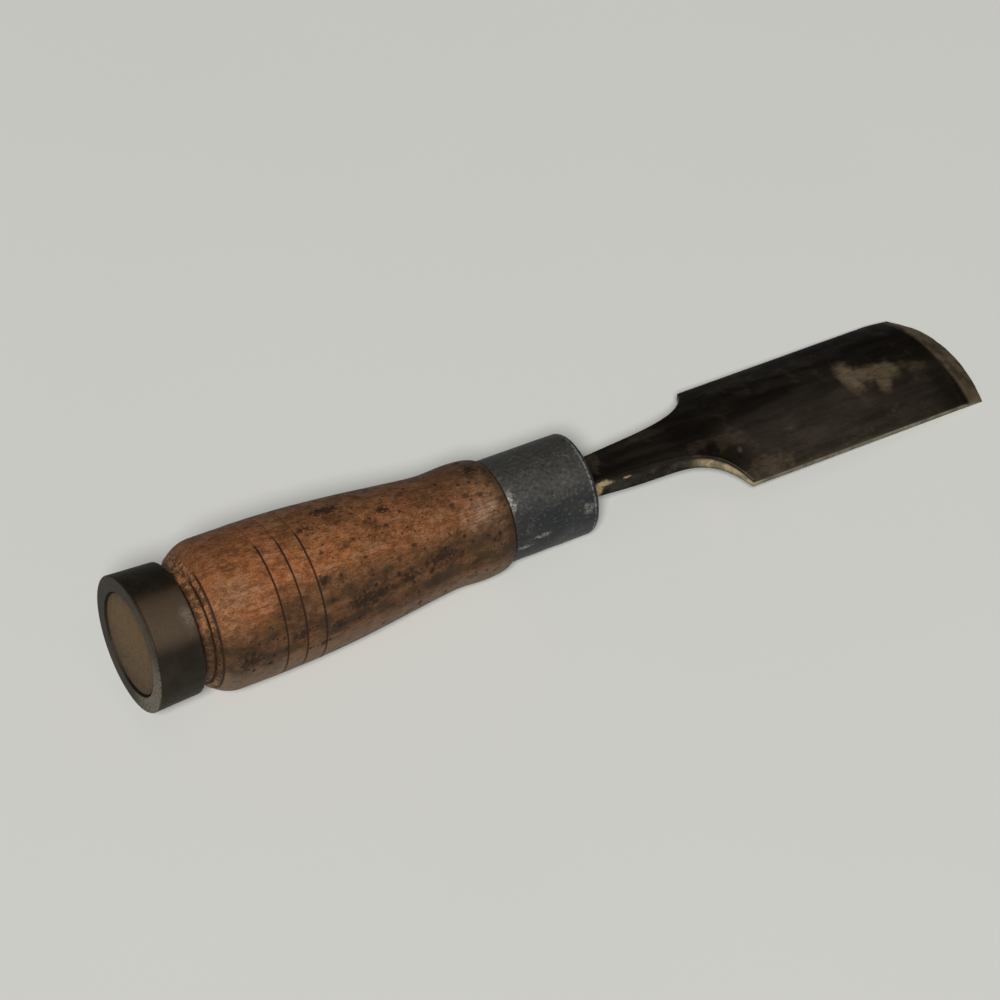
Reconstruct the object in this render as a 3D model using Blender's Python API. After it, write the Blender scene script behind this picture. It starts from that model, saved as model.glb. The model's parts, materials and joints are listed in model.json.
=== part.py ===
"""A wide, shallow gouge for wood, with a turned handle that is hooped for striking.

Each piece is made along the tool's own axis, from the struck end to the cutting edge.
The tool is then laid on level ground, on its turned part and the corners of its edge.
All sizes are in metres.
"""

import math

import bmesh
import bpy

# Gap between neighbouring pieces
CLEARANCE = 0.0003

# Hoop round the struck end, with a slight taper towards the blade
HOOP_LENGTH = 0.0122
HOOP_WALL = 0.0041
HOOP_TAPER = 0.0006
HOOP_EDGE_ROUND = 0.0004

# Turned handle, from the struck end onwards
TENON_RADIUS = 0.01295
BUTT_RECESS = 0.0007
SHOULDER_LENGTH = 0.0105
SHOULDER_ROUND = 0.0085
SHOULDER_SWEEP = math.radians(63)
BELLY_RADIUS = 0.01915
BELLY_LAND = 0.0043
BELLY_FALL = 0.0570
BELLY_FULLNESS = 2.2
WAIST_RADIUS = 0.0148
WAIST_SHARPNESS = 1.4
SWELL_RADIUS = 0.0151
SWELL_LENGTH = 0.0075
NOSE_LENGTH = 0.0071
NOSE_DROP = 0.0018
NOSE_RADIUS = 0.0115

# Scribed lines: two on the rounded shoulder and a group on the belly
LINE_WIDTH = 0.0007
LINE_DEPTH = 0.0004
SHOULDER_LINES = (math.radians(57), math.radians(43))
BELLY_LINE_START = 0.0102
BELLY_LINE_PITCH = 0.0053
BELLY_LINES = 3

# Ferrule round the nose
FERRULE_LENGTH = 0.0238
FERRULE_WALL = 0.0015
FERRULE_TAPER = 0.0001
FERRULE_FRONT = 0.0020
FERRULE_ROUND = 0.0012

# Forged blade: tang, neck, shoulders and arched plate
TANG_LENGTH = 0.0550
TANG_TIP = 0.0036
NECK_WIDTH = 0.0084
NECK_THICKNESS = 0.00595
NECK_LENGTH = 0.0419
NECK_FLARE = 0.0258
NECK_SPREAD = 0.0028
NECK_THINS_FROM = 0.2
NECK_THINS_TO = 0.6
NECK_ARCHES_TO = 0.5
SHOULDER_CURVE_LENGTH = 0.0062
SHOULDER_CURVE_DROP = 0.0133
BLADE_RISE = 0.0029
BLADE_WIDTH = 0.0365
BLADE_LENGTH = 0.0716
BLADE_THICKNESS = 0.0044
BLADE_SIDE = 0.0023
BLADE_HOLLOW = 0.0027
SIDE_CHAMFER = 0.0005
CHAMFER_LIMIT = 0.3
BEVEL_LENGTH = 0.0079
EDGE_THICKNESS = 0.00015
EDGE_ARC = 0.0655
EDGE_CREST = -0.0047

# Finishes: colour, roughness and metallic value
WOOD = ((0.30, 0.145, 0.070), 0.62, 0.0)
HOOP_STEEL = ((0.090, 0.076, 0.062), 0.45, 0.85)
FERRULE_IRON = ((0.120, 0.126, 0.132), 0.55, 0.75)
BLADE_STEEL = ((0.052, 0.044, 0.036), 0.42, 0.85)

# Fineness of the round surfaces
TURNED_SIDES = 64
ROUND_STEPS = 4
SHOULDER_STEPS = 3
FALL_STEPS = 12
SWELL_STEPS = 4
NOSE_STEPS = 6
NECK_STEPS = 14
ACROSS_STEPS = 24
SHARP_ANGLE = math.radians(32)
MERGE_DISTANCE = 0.000001
CUTTER_OVERRUN = 0.0010

# Stations along the axis, measured from the struck end
SHOULDER_END = HOOP_LENGTH + SHOULDER_LENGTH
BELLY_END = SHOULDER_END + BELLY_LAND
WAIST_AT = BELLY_END + BELLY_FALL
SWELL_AT = WAIST_AT + SWELL_LENGTH
NOSE_AT = SWELL_AT + NOSE_LENGTH
FERRULE_AT = NOSE_AT + CLEARANCE
FERRULE_END = FERRULE_AT + FERRULE_LENGTH
NOSE_END = FERRULE_END - FERRULE_FRONT - CLEARANCE
TANG_END = NOSE_END - TANG_LENGTH
PLATE_AT = FERRULE_END + NECK_LENGTH
EDGE_AT = PLATE_AT + BLADE_LENGTH
BEVEL_AT = EDGE_AT - BEVEL_LENGTH

# Levels of the forging, above the axis
BLADE_TOP = BLADE_RISE
BLADE_UNDER = BLADE_RISE - BLADE_THICKNESS
NECK_UNDER = BLADE_RISE - NECK_THICKNESS
BLADE_LOW = BLADE_UNDER - BLADE_HOLLOW
BLADE_CROWN = BLADE_THICKNESS + BLADE_HOLLOW - BLADE_SIDE


def remove_everything():
    """Empty the scene."""
    for thing in list(bpy.data.objects):
        bpy.data.objects.remove(thing)


def smooth_step(low, high, value):
    """Ease from 0 at low to 1 at high."""
    share = min(max((value - low) / (high - low), 0.0), 1.0)
    return share * share * (3.0 - 2.0 * share)


def arc(centre, radius, start, end, steps):
    """Points (radius, station) on a circular arc, angles from the outward direction."""
    points = []
    for step in range(steps + 1):
        angle = start + (end - start) * step / steps
        points.append((centre[0] + radius * math.cos(angle), centre[1] + radius * math.sin(angle)))
    return points


def finish(name, mesh, look, axis_pose):
    """Make a mesh the named piece, smooth shaded, with its own material, on the axis."""
    colour, roughness, metallic = look
    mesh.shade_smooth()
    mesh.set_sharp_from_angle(angle=SHARP_ANGLE)
    material = bpy.data.materials.new(name)
    material.use_nodes = True
    surface = material.node_tree.nodes["Principled BSDF"]
    surface.inputs["Base Color"].default_value = (*colour, 1.0)
    surface.inputs["Roughness"].default_value = roughness
    surface.inputs["Metallic"].default_value = metallic
    mesh.materials.append(material)
    return place(name, mesh, axis_pose)


def place(name, mesh, axis_pose):
    """Put a mesh in the scene, carried by the tool's axis."""
    piece = bpy.data.objects.new(name, mesh)
    bpy.context.scene.collection.objects.link(piece)
    piece.parent = axis_pose
    return piece


def turned(name, profile, closed):
    """Mesh of a profile of (radius, station) points turned round the local Z axis."""
    shape = bmesh.new()
    verts = [shape.verts.new((radius, 0.0, station)) for radius, station in profile]
    for first, second in zip(verts, verts[1:]):
        shape.edges.new((first, second))
    if closed:
        shape.edges.new((verts[-1], verts[0]))
    bmesh.ops.spin(
        shape,
        geom=shape.verts[:] + shape.edges[:],
        cent=(0.0, 0.0, 0.0),
        axis=(0.0, 0.0, 1.0),
        angle=2.0 * math.pi,
        steps=TURNED_SIDES,
        use_merge=True,
    )
    bmesh.ops.remove_doubles(shape, verts=shape.verts[:], dist=MERGE_DISTANCE)
    bmesh.ops.recalc_face_normals(shape, faces=shape.faces[:])
    mesh = bpy.data.meshes.new(name)
    shape.to_mesh(mesh)
    shape.free()
    return mesh


def lay_on_axis(piece):
    """Turn a piece whose own axis is Z so that it follows the tool's axis, X."""
    piece.rotation_euler = (0.0, math.pi / 2.0, 0.0)


def square_cutter(name, sections, axis_pose):
    """Square-sided tapering cutter through sections of (station, half width, low, high)."""
    shape = bmesh.new()
    rings = []
    for station, half, low, high in sections:
        corners = ((-half, low), (half, low), (half, high), (-half, high))
        rings.append([shape.verts.new((station, across, up)) for across, up in corners])
    for near, far in zip(rings, rings[1:]):
        for side in range(4):
            following = (side + 1) % 4
            shape.faces.new((near[side], near[following], far[following], far[side]))
    shape.faces.new(rings[0])
    shape.faces.new(rings[-1])
    bmesh.ops.recalc_face_normals(shape, faces=shape.faces[:])
    mesh = bpy.data.meshes.new(name)
    shape.to_mesh(mesh)
    shape.free()
    cutter = place(name, mesh, axis_pose)
    cutter.hide_render = True
    cutter.display_type = "WIRE"
    return cutter


def cut(piece, cutter):
    """Cut one shape out of a piece."""
    modifier = piece.modifiers.new(cutter.name, "BOOLEAN")
    modifier.operation = "DIFFERENCE"
    modifier.solver = "EXACT"
    modifier.object = cutter


def scribed(radius, station, slope):
    """Three points of a line scribed into a surface that leans by slope."""
    half = LINE_WIDTH / 2.0
    return [
        (radius - half * math.sin(slope), station - half * math.cos(slope)),
        (radius - LINE_DEPTH * math.cos(slope), station + LINE_DEPTH * math.sin(slope)),
        (radius + half * math.sin(slope), station + half * math.cos(slope)),
    ]


def belly_radius(station):
    """Radius of the handle between its belly and its waist."""
    share = min(max((station - BELLY_END) / BELLY_FALL, 0.0), 1.0)
    fall = (1.0 - share**BELLY_FULLNESS) ** WAIST_SHARPNESS
    return WAIST_RADIUS + (BELLY_RADIUS - WAIST_RADIUS) * fall


def shoulder_point(angle):
    """Point on the rounded shoulder, by its angle back from the belly."""
    radius = BELLY_RADIUS - SHOULDER_ROUND * (1.0 - math.cos(angle))
    return radius, SHOULDER_END - SHOULDER_ROUND * math.sin(angle)


def shoulder_profile():
    """Collar behind the hoop, rounded shoulder and the lines scribed round it."""
    points = [(TENON_RADIUS, HOOP_LENGTH + CLEARANCE)]
    points.append((shoulder_point(SHOULDER_SWEEP)[0], HOOP_LENGTH + CLEARANCE))
    line_half = LINE_WIDTH / SHOULDER_ROUND
    start = SHOULDER_SWEEP
    for line in SHOULDER_LINES:
        span = start - line - line_half
        for step in range(SHOULDER_STEPS):
            points.append(shoulder_point(start - span * step / SHOULDER_STEPS))
        points += scribed(*shoulder_point(line), line)
        start = line - line_half
    for step in range(SHOULDER_STEPS):
        points.append(shoulder_point(start * (1.0 - step / SHOULDER_STEPS)))
    points.append((BELLY_RADIUS, SHOULDER_END))
    return points


def belly_profile():
    """Belly with its scribed lines, falling to the waist."""
    points = [(BELLY_RADIUS, BELLY_END)]
    lines = [SHOULDER_END + BELLY_LINE_START + BELLY_LINE_PITCH * line for line in range(BELLY_LINES)]
    stations = [BELLY_END + BELLY_FALL * (step + 1) / FALL_STEPS for step in range(FALL_STEPS)]
    free = [at for at in stations if all(abs(at - line) > LINE_WIDTH for line in lines)]
    for at in sorted(free + lines):
        if at in lines:
            points += scribed(belly_radius(at), at, 0.0)
        else:
            points.append((belly_radius(at), at))
    return points


def nose_profile():
    """Swell in front of the waist and the round that meets the ferrule."""
    points = []
    for step in range(1, SWELL_STEPS + 1):
        share = step / SWELL_STEPS
        rise = (SWELL_RADIUS - WAIST_RADIUS) * smooth_step(0.0, 1.0, share)
        points.append((WAIST_RADIUS + rise, WAIST_AT + SWELL_LENGTH * share))
    for step in range(1, NOSE_STEPS + 1):
        angle = math.pi / 2.0 * step / NOSE_STEPS
        fall = NOSE_DROP * (1.0 - math.cos(angle))
        points.append((SWELL_RADIUS - fall, SWELL_AT + NOSE_LENGTH * math.sin(angle)))
    points += [(NOSE_RADIUS, NOSE_AT), (NOSE_RADIUS, NOSE_END), (0.0, NOSE_END)]
    return points


def handle_profile():
    """Whole outline of the turned handle, from the struck end to the nose."""
    butt = [(0.0, BUTT_RECESS), (TENON_RADIUS, BUTT_RECESS)]
    return butt + shoulder_profile() + belly_profile() + nose_profile()


def make_handle(axis_pose):
    """Turned wooden handle with a mortise for the tang."""
    mesh = turned("handle", handle_profile(), closed=False)
    handle = finish("handle", mesh, WOOD, axis_pose)
    lay_on_axis(handle)
    tip = TANG_TIP / 2.0 + CLEARANCE
    mouth = (NECK_WIDTH / 2.0 + CLEARANCE, NECK_UNDER - CLEARANCE, BLADE_TOP + CLEARANCE)
    sections = (
        (TANG_END - CLEARANCE, tip, -tip, tip),
        (NOSE_END, *mouth),
        (NOSE_END + CUTTER_OVERRUN, *mouth),
    )
    cut(handle, square_cutter("mortise_cutter", sections, axis_pose))


def hoop_profile():
    """Outline of the hoop's wall, with rounded rims and a slight taper."""
    inner = TENON_RADIUS + CLEARANCE
    outer = inner + HOOP_WALL
    quarter = math.pi / 2.0
    butt_centre = (outer - HOOP_EDGE_ROUND, HOOP_EDGE_ROUND)
    front_centre = (outer - HOOP_TAPER - HOOP_EDGE_ROUND, HOOP_LENGTH - HOOP_EDGE_ROUND)
    profile = [(inner, 0.0)]
    profile += arc(butt_centre, HOOP_EDGE_ROUND, -quarter, 0.0, ROUND_STEPS)
    profile += arc(front_centre, HOOP_EDGE_ROUND, 0.0, quarter, ROUND_STEPS)
    profile.append((inner, HOOP_LENGTH))
    return profile


def make_hoop(axis_pose):
    """Steel ring round the tenon."""
    mesh = turned("striking_hoop", hoop_profile(), closed=True)
    hoop = finish("striking_hoop", mesh, HOOP_STEEL, axis_pose)
    lay_on_axis(hoop)


def ferrule_profile():
    """Outline of the ferrule: a cap with a front wall and a rounded front rim."""
    inner = NOSE_RADIUS + CLEARANCE
    outer = inner + FERRULE_WALL
    wall = FERRULE_END - FERRULE_FRONT
    round_centre = (outer - FERRULE_TAPER - FERRULE_ROUND, FERRULE_END - FERRULE_ROUND)
    profile = [(0.0, wall), (inner, wall), (inner, FERRULE_AT), (outer, FERRULE_AT)]
    profile += arc(round_centre, FERRULE_ROUND, 0.0, math.pi / 2.0, ROUND_STEPS)
    profile.append((0.0, FERRULE_END))
    return profile


def make_ferrule(axis_pose):
    """Iron cap round the nose, with a square hole for the neck in its front wall."""
    mesh = turned("ferrule", ferrule_profile(), closed=False)
    ferrule = finish("ferrule", mesh, FERRULE_IRON, axis_pose)
    lay_on_axis(ferrule)
    hole = (NECK_WIDTH / 2.0 + CLEARANCE, NECK_UNDER - CLEARANCE, BLADE_TOP + CLEARANCE)
    hole_start = FERRULE_END - FERRULE_FRONT - CUTTER_OVERRUN
    sections = ((hole_start, *hole), (FERRULE_END + CUTTER_OVERRUN, *hole))
    cut(ferrule, square_cutter("neck_hole_cutter", sections, axis_pose))


def sag(rise, across):
    """Drop of a blade's arch at a distance from its middle, for its rise at the sides."""
    half = BLADE_WIDTH / 2.0
    radius = (rise * rise + half * half) / (2.0 * rise)
    return radius - math.sqrt(radius * radius - across * across)


def edge_station(across):
    """Station of the cutting edge, ground to an arc whose crest lies off the middle."""
    return EDGE_AT - (across - EDGE_CREST) ** 2 / (2.0 * EDGE_ARC)


def across_points(half):
    """Distances from the middle at which the forging's surface is drawn."""
    land = half - SIDE_CHAMFER
    inner = [land * (2.0 * step / ACROSS_STEPS - 1.0) for step in range(ACROSS_STEPS + 1)]
    return [-half] + inner + [half]


def forging_row(half, top, under, curl, station, thin=False):
    """Upper and lower line of points across the forging at one station."""
    upper = []
    lower = []
    for across in across_points(half):
        low = under - curl * sag(BLADE_HOLLOW, across)
        high = top - curl * sag(BLADE_CROWN, across)
        if thin:
            high = low + EDGE_THICKNESS
        if abs(across) == half:
            high -= min(SIDE_CHAMFER, CHAMFER_LIMIT * (high - low))
        upper.append((station(across), across, high))
        lower.append((station(across), across, low))
    return upper, lower


def neck_curve(share):
    """Station and half width of the neck, from the ferrule to the corner of the plate."""
    start = (FERRULE_END, NECK_WIDTH / 2.0)
    leave = (start[0] + NECK_FLARE, start[1] + NECK_SPREAD)
    end = (PLATE_AT, BLADE_WIDTH / 2.0)
    arrive = (end[0] - SHOULDER_CURVE_LENGTH, end[1] - SHOULDER_CURVE_DROP)
    rest = 1.0 - share
    weights = (rest**3, 3.0 * rest * rest * share, 3.0 * rest * share * share, share**3)
    points = (start, leave, arrive, end)
    station = sum(weight * point[0] for weight, point in zip(weights, points))
    half = sum(weight * point[1] for weight, point in zip(weights, points))
    return station, half


def forging_rows():
    """All lines across the forging, from the tip of the tang to the cutting edge."""
    tip = TANG_TIP / 2.0
    rows = [
        forging_row(tip, tip, -tip, 0.0, lambda across: TANG_END),
        forging_row(NECK_WIDTH / 2.0, BLADE_TOP, NECK_UNDER, 0.0, lambda across: NOSE_END),
    ]
    for step in range(NECK_STEPS + 1):
        share = step / NECK_STEPS
        station, half = neck_curve(share)
        thinned = smooth_step(NECK_THINS_FROM, NECK_THINS_TO, share)
        under = NECK_UNDER + (BLADE_UNDER - NECK_UNDER) * thinned
        curl = smooth_step(0.0, NECK_ARCHES_TO, share)
        rows.append(forging_row(half, BLADE_TOP, under, curl, lambda across: station))
    half = BLADE_WIDTH / 2.0
    rows.append(forging_row(half, BLADE_TOP, BLADE_UNDER, 1.0, lambda across: BEVEL_AT))
    rows.append(forging_row(half, BLADE_TOP, BLADE_UNDER, 1.0, edge_station, thin=True))
    return rows


def make_blade(axis_pose):
    """Blade, shoulders, neck and tang, skinned over the lines across the forging."""
    shape = bmesh.new()
    loops = []
    for upper, lower in forging_rows():
        outline = upper + lower[::-1]
        loops.append([shape.verts.new(point) for point in outline])
    count = len(loops[0])
    for near, far in zip(loops, loops[1:]):
        for index in range(count):
            following = (index + 1) % count
            shape.faces.new((near[index], near[following], far[following], far[index]))
    for loop in (loops[0], loops[-1]):
        for index in range(count // 2 - 1):
            opposite = count - 1 - index
            shape.faces.new((loop[index], loop[index + 1], loop[opposite - 1], loop[opposite]))
    bmesh.ops.recalc_face_normals(shape, faces=shape.faces[:])
    mesh = bpy.data.meshes.new("blade")
    shape.to_mesh(mesh)
    shape.free()
    finish("blade", mesh, BLADE_STEEL, axis_pose)


def lay_on_ground(axis_pose):
    """Tilt the axis until the turned pieces and the edge both touch the ground."""
    corner = edge_station(-BLADE_WIDTH / 2.0)
    turned_points = hoop_profile() + handle_profile() + ferrule_profile()
    slope = max((radius + BLADE_LOW) / (corner - station) for radius, station in turned_points)
    tilt = math.atan(slope)
    axis_pose.rotation_euler = (0.0, tilt, 0.0)
    axis_pose.location.z = (slope * corner - BLADE_LOW) * math.cos(tilt)
    bpy.context.view_layer.update()
    reach = []
    for piece in axis_pose.children:
        if not piece.hide_render:
            reach += [(piece.matrix_world @ vert.co).x for vert in piece.data.vertices]
    axis_pose.location.x = -(min(reach) + max(reach)) / 2.0


def main():
    """Build the four pieces and lay the tool down."""
    remove_everything()
    axis_pose = bpy.data.objects.new("axis_pose", None)
    bpy.context.scene.collection.objects.link(axis_pose)
    make_handle(axis_pose)
    make_hoop(axis_pose)
    make_ferrule(axis_pose)
    make_blade(axis_pose)
    lay_on_ground(axis_pose)


main()
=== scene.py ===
"""Looks of a hooped wood gouge that lies on a pale floor.

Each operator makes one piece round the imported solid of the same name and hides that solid.
Pieces are drawn in the tool's own frame: X runs along the axis from the struck end to the
cutting edge, Y runs across the blade, and Z points to the blade's convex side.
"""

import json
import math

import bmesh
import bpy
from bpy.props import FloatProperty, FloatVectorProperty, IntProperty, PointerProperty
from bpy.types import Operator, Panel, PropertyGroup
from mathutils import Matrix, Vector, noise


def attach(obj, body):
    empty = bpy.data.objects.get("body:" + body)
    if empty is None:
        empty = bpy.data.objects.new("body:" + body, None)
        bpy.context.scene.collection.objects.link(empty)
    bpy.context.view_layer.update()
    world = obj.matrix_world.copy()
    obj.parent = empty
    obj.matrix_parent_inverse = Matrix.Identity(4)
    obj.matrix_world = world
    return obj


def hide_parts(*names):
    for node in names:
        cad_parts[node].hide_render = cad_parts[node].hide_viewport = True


bl_info = {
    "name": "Hooped wood gouge",
    "version": (1, 0, 0),
    "blender": (4, 5, 0),
    "location": "View3D > Sidebar > Gouge",
    "description": "Makes a worn wood gouge with a hooped handle, and the stage it lies on",
    "category": "Object",
}

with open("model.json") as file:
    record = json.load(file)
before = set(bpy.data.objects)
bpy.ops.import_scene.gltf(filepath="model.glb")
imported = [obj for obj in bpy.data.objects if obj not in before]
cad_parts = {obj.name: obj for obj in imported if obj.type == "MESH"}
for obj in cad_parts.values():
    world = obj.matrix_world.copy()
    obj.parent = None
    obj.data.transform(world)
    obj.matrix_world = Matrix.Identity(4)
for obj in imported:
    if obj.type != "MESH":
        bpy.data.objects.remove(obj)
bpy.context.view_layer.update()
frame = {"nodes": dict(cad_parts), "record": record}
MILLIMETRES = 1000.0
ORIGIN = (0.0, 0.0, 0.0)
MERGE_DISTANCE = 0.000002
SHARP_ANGLE = math.radians(40)


# Pose of the tool's axis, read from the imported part

def read_tool_pose():
    """Matrix from the tool's own frame to the scene, from the struck face and the hoop's rim."""
    struck = next(mount for mount in frame["record"]["mounts"] if mount["name"] == "struck_end")
    along = -Vector(struck["axis"]).normalized()
    across = Vector((0.0, 1.0, 0.0))
    up = along.cross(across)
    face = Vector(struck["pos_m"])
    rim = min(vert.co.dot(along) for vert in frame["nodes"]["striking_hoop"].data.vertices)
    start = face + along * (rim - face.dot(along))
    pose = Matrix((along, across, up)).transposed().to_4x4()
    pose.translation = start
    return pose


TOOL_POSE = read_tool_pose()


# Sizes and colours that can be changed

def length(name, description, default):
    """Property for a length in metres."""
    return FloatProperty(name=name, description=description, default=default, unit="LENGTH", precision=5)


def share(name, description, default):
    """Property for a plain number."""
    return FloatProperty(name=name, description=description, default=default)


def whole(name, description, default, least):
    """Property for a whole number."""
    return IntProperty(name=name, description=description, default=default, min=least)


def position(name, description, default):
    """Property for a place in the scene."""
    return FloatVectorProperty(
        name=name, description=description, default=default, subtype="XYZ", unit="LENGTH", precision=5
    )


def angle(name, description, default):
    """Property for an angle."""
    return FloatProperty(name=name, description=description, default=math.radians(default), subtype="ANGLE")


def colour(name, description, default):
    """Property for a colour."""
    return FloatVectorProperty(
        name=name, description=description, default=default, subtype="COLOR", size=3, min=0.0, max=1.0
    )


class HandleSizes(PropertyGroup):
    """Sizes of the turned handle."""

    sides: whole("Sides", "Facets round the axis", 144, 16)
    clearance: length("Clearance", "Gap to the hoop, the ferrule and the tang", 0.0003)
    recess: length("Recess", "Depth of the wood's end inside the hoop", 0.0002)
    dish: length("Dish", "Fall of the end's rim below its middle", 0.0002)
    tenon: length("Tenon", "Radius of the wood inside the hoop", 0.01295)
    shoulder_length: length("Shoulder length", "From the hoop to the belly", 0.0105)
    shoulder_round: length("Shoulder round", "Radius of the rounded shoulder", 0.0085)
    shoulder_sweep: angle("Shoulder sweep", "How far round the shoulder goes", 63)
    shoulder_bead: length("Shoulder bead", "Swelling of the beads beside the hoop", 0.00025)
    groove_at: angle("Groove at", "Place of the groove between the beads", 56)
    line_at: angle("Line at", "Place of the line behind the beads", 43)
    belly: length("Belly", "Largest radius", 0.01915)
    belly_land: length("Belly land", "Straight part of the belly", 0.0043)
    belly_fall: length("Belly fall", "From the belly to the waist", 0.0570)
    belly_fullness: share("Belly fullness", "How long the belly stays full", 2.2)
    waist: length("Waist", "Radius of the waist", 0.0148)
    waist_sharpness: share("Waist sharpness", "How hollow the waist is", 1.4)
    swell: length("Swell", "Radius in front of the waist", 0.0151)
    swell_length: length("Swell length", "From the waist to the swell", 0.0075)
    nose_length: length("Nose length", "Rounding before the ferrule", 0.0071)
    nose_drop: length("Nose drop", "Fall of the rounding", 0.0018)
    nose: length("Nose", "Radius of the wood inside the ferrule", 0.0115)
    line_width: length("Line width", "Half the width of a scribed line", 0.00042)
    line_depth: length("Line depth", "Depth of a scribed line", 0.00016)
    lines_from: length("Lines from", "First belly line, from the belly's start", 0.0102)
    lines_pitch: length("Lines pitch", "Step between the belly lines", 0.0053)
    lines: whole("Lines", "Number of belly lines", 3, 0)
    wobble: length("Wobble", "Unevenness of the worn wood", 0.00022)
    wobble_scale: share("Wobble scale", "Fineness of the unevenness", 110.0)
    seed: share("Seed", "Pattern of the unevenness", 3.0)
    crushing: length("Crushing", "Depth of the crushed wood beside the hoop", 0.00075)
    crushed_length: length("Crushed length", "How far from the hoop the wood is crushed", 0.0044)
    crushed_scale: share("Crushed scale", "Fineness of the crushed wood", 380.0)


class HoopSizes(PropertyGroup):
    """Sizes of the hoop round the struck end."""

    sides: whole("Sides", "Facets round the axis", 144, 16)
    length: length("Length", "Along the axis", 0.0122)
    wall: length("Wall", "Thickness at the struck end", 0.0041)
    taper: length("Taper", "Fall of the radius towards the blade", 0.0006)
    rounding: length("Rounding", "Radius of the rims", 0.0004)
    wobble: length("Wobble", "Unevenness of the steel", 0.00012)
    wobble_scale: share("Wobble scale", "Fineness of the unevenness", 160.0)
    seed: share("Seed", "Pattern of the unevenness", 8.0)


class FerruleSizes(PropertyGroup):
    """Sizes of the ferrule round the nose."""

    sides: whole("Sides", "Facets round the axis", 144, 16)
    length: length("Length", "Along the axis", 0.0238)
    wall: length("Wall", "Thickness of the tube", 0.0015)
    taper: length("Taper", "Fall of the radius towards the blade", 0.0001)
    front: length("Front", "Thickness of the front wall", 0.0020)
    rounding: length("Rounding", "Radius of the front rim", 0.0012)
    wobble: length("Wobble", "Dents in the iron", 0.00016)
    wobble_scale: share("Wobble scale", "Fineness of the dents", 190.0)
    seed: share("Seed", "Pattern of the dents", 5.0)


class BladeSizes(PropertyGroup):
    """Sizes of the forged blade, its neck and its tang."""

    tang_length: length("Tang length", "Part inside the handle", 0.0550)
    tang_tip: length("Tang tip", "Thickness at the tip of the tang", 0.0036)
    neck_width: length("Neck width", "Width at the ferrule", 0.0084)
    neck_thickness: length("Neck thickness", "Thickness at the ferrule", 0.00595)
    neck_length: length("Neck length", "From the ferrule to the plate", 0.0419)
    neck_flare: length("Neck flare", "How long the neck stays slim", 0.0258)
    neck_spread: length("Neck spread", "How much the slim part widens", 0.0028)
    thins_from: share("Thins from", "Where along the neck it starts to thin", 0.2)
    thins_to: share("Thins to", "Where along the neck it is thin", 0.6)
    arches_from: share("Arches from", "Where along the neck the arch starts", 0.35)
    arches_to: share("Arches to", "Where along the neck the arch is full", 0.95)
    sweep_length: length("Sweep length", "Length of the swept shoulder", 0.0062)
    sweep_drop: length("Sweep drop", "Depth of the swept shoulder", 0.0133)
    rise: length("Rise", "Height of the blade's top over the axis", 0.0029)
    width: length("Width", "Across the plate", 0.0365)
    plate_length: length("Plate length", "From the shoulders to the edge", 0.0716)
    thickness: length("Thickness", "In the middle of the plate", 0.0044)
    side: length("Side", "Thickness at the sides of the plate", 0.0023)
    hollow: length("Hollow", "Depth of the hollow underside", 0.0027)
    side_round: length("Side round", "Rounding of the upper arrises", 0.0005)
    under_round: length("Under round", "Rounding of the lower arrises", 0.0002)
    bevel: length("Bevel", "Length of the ground bevel", 0.0079)
    edge_thickness: length("Edge thickness", "At the cutting edge", 0.00015)
    edge_arc: length("Edge arc", "Radius of the worn edge", 0.0655)
    edge_crest: length("Edge crest", "Place of the edge's foremost point", -0.0047)
    hammering: length("Hammering", "Unevenness of the forged faces", 0.00010)
    nicks: length("Nicks", "Depth of the nicks in the edge", 0.00022)
    pit: length("Pit", "Depth of the pit near the neck", 0.00035)
    corner_wear: length("Corner wear", "How far the far corner has worn in", 0.0012)
    corner_wear_length: length("Corner wear length", "Worn part of the far side", 0.0070)


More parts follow.
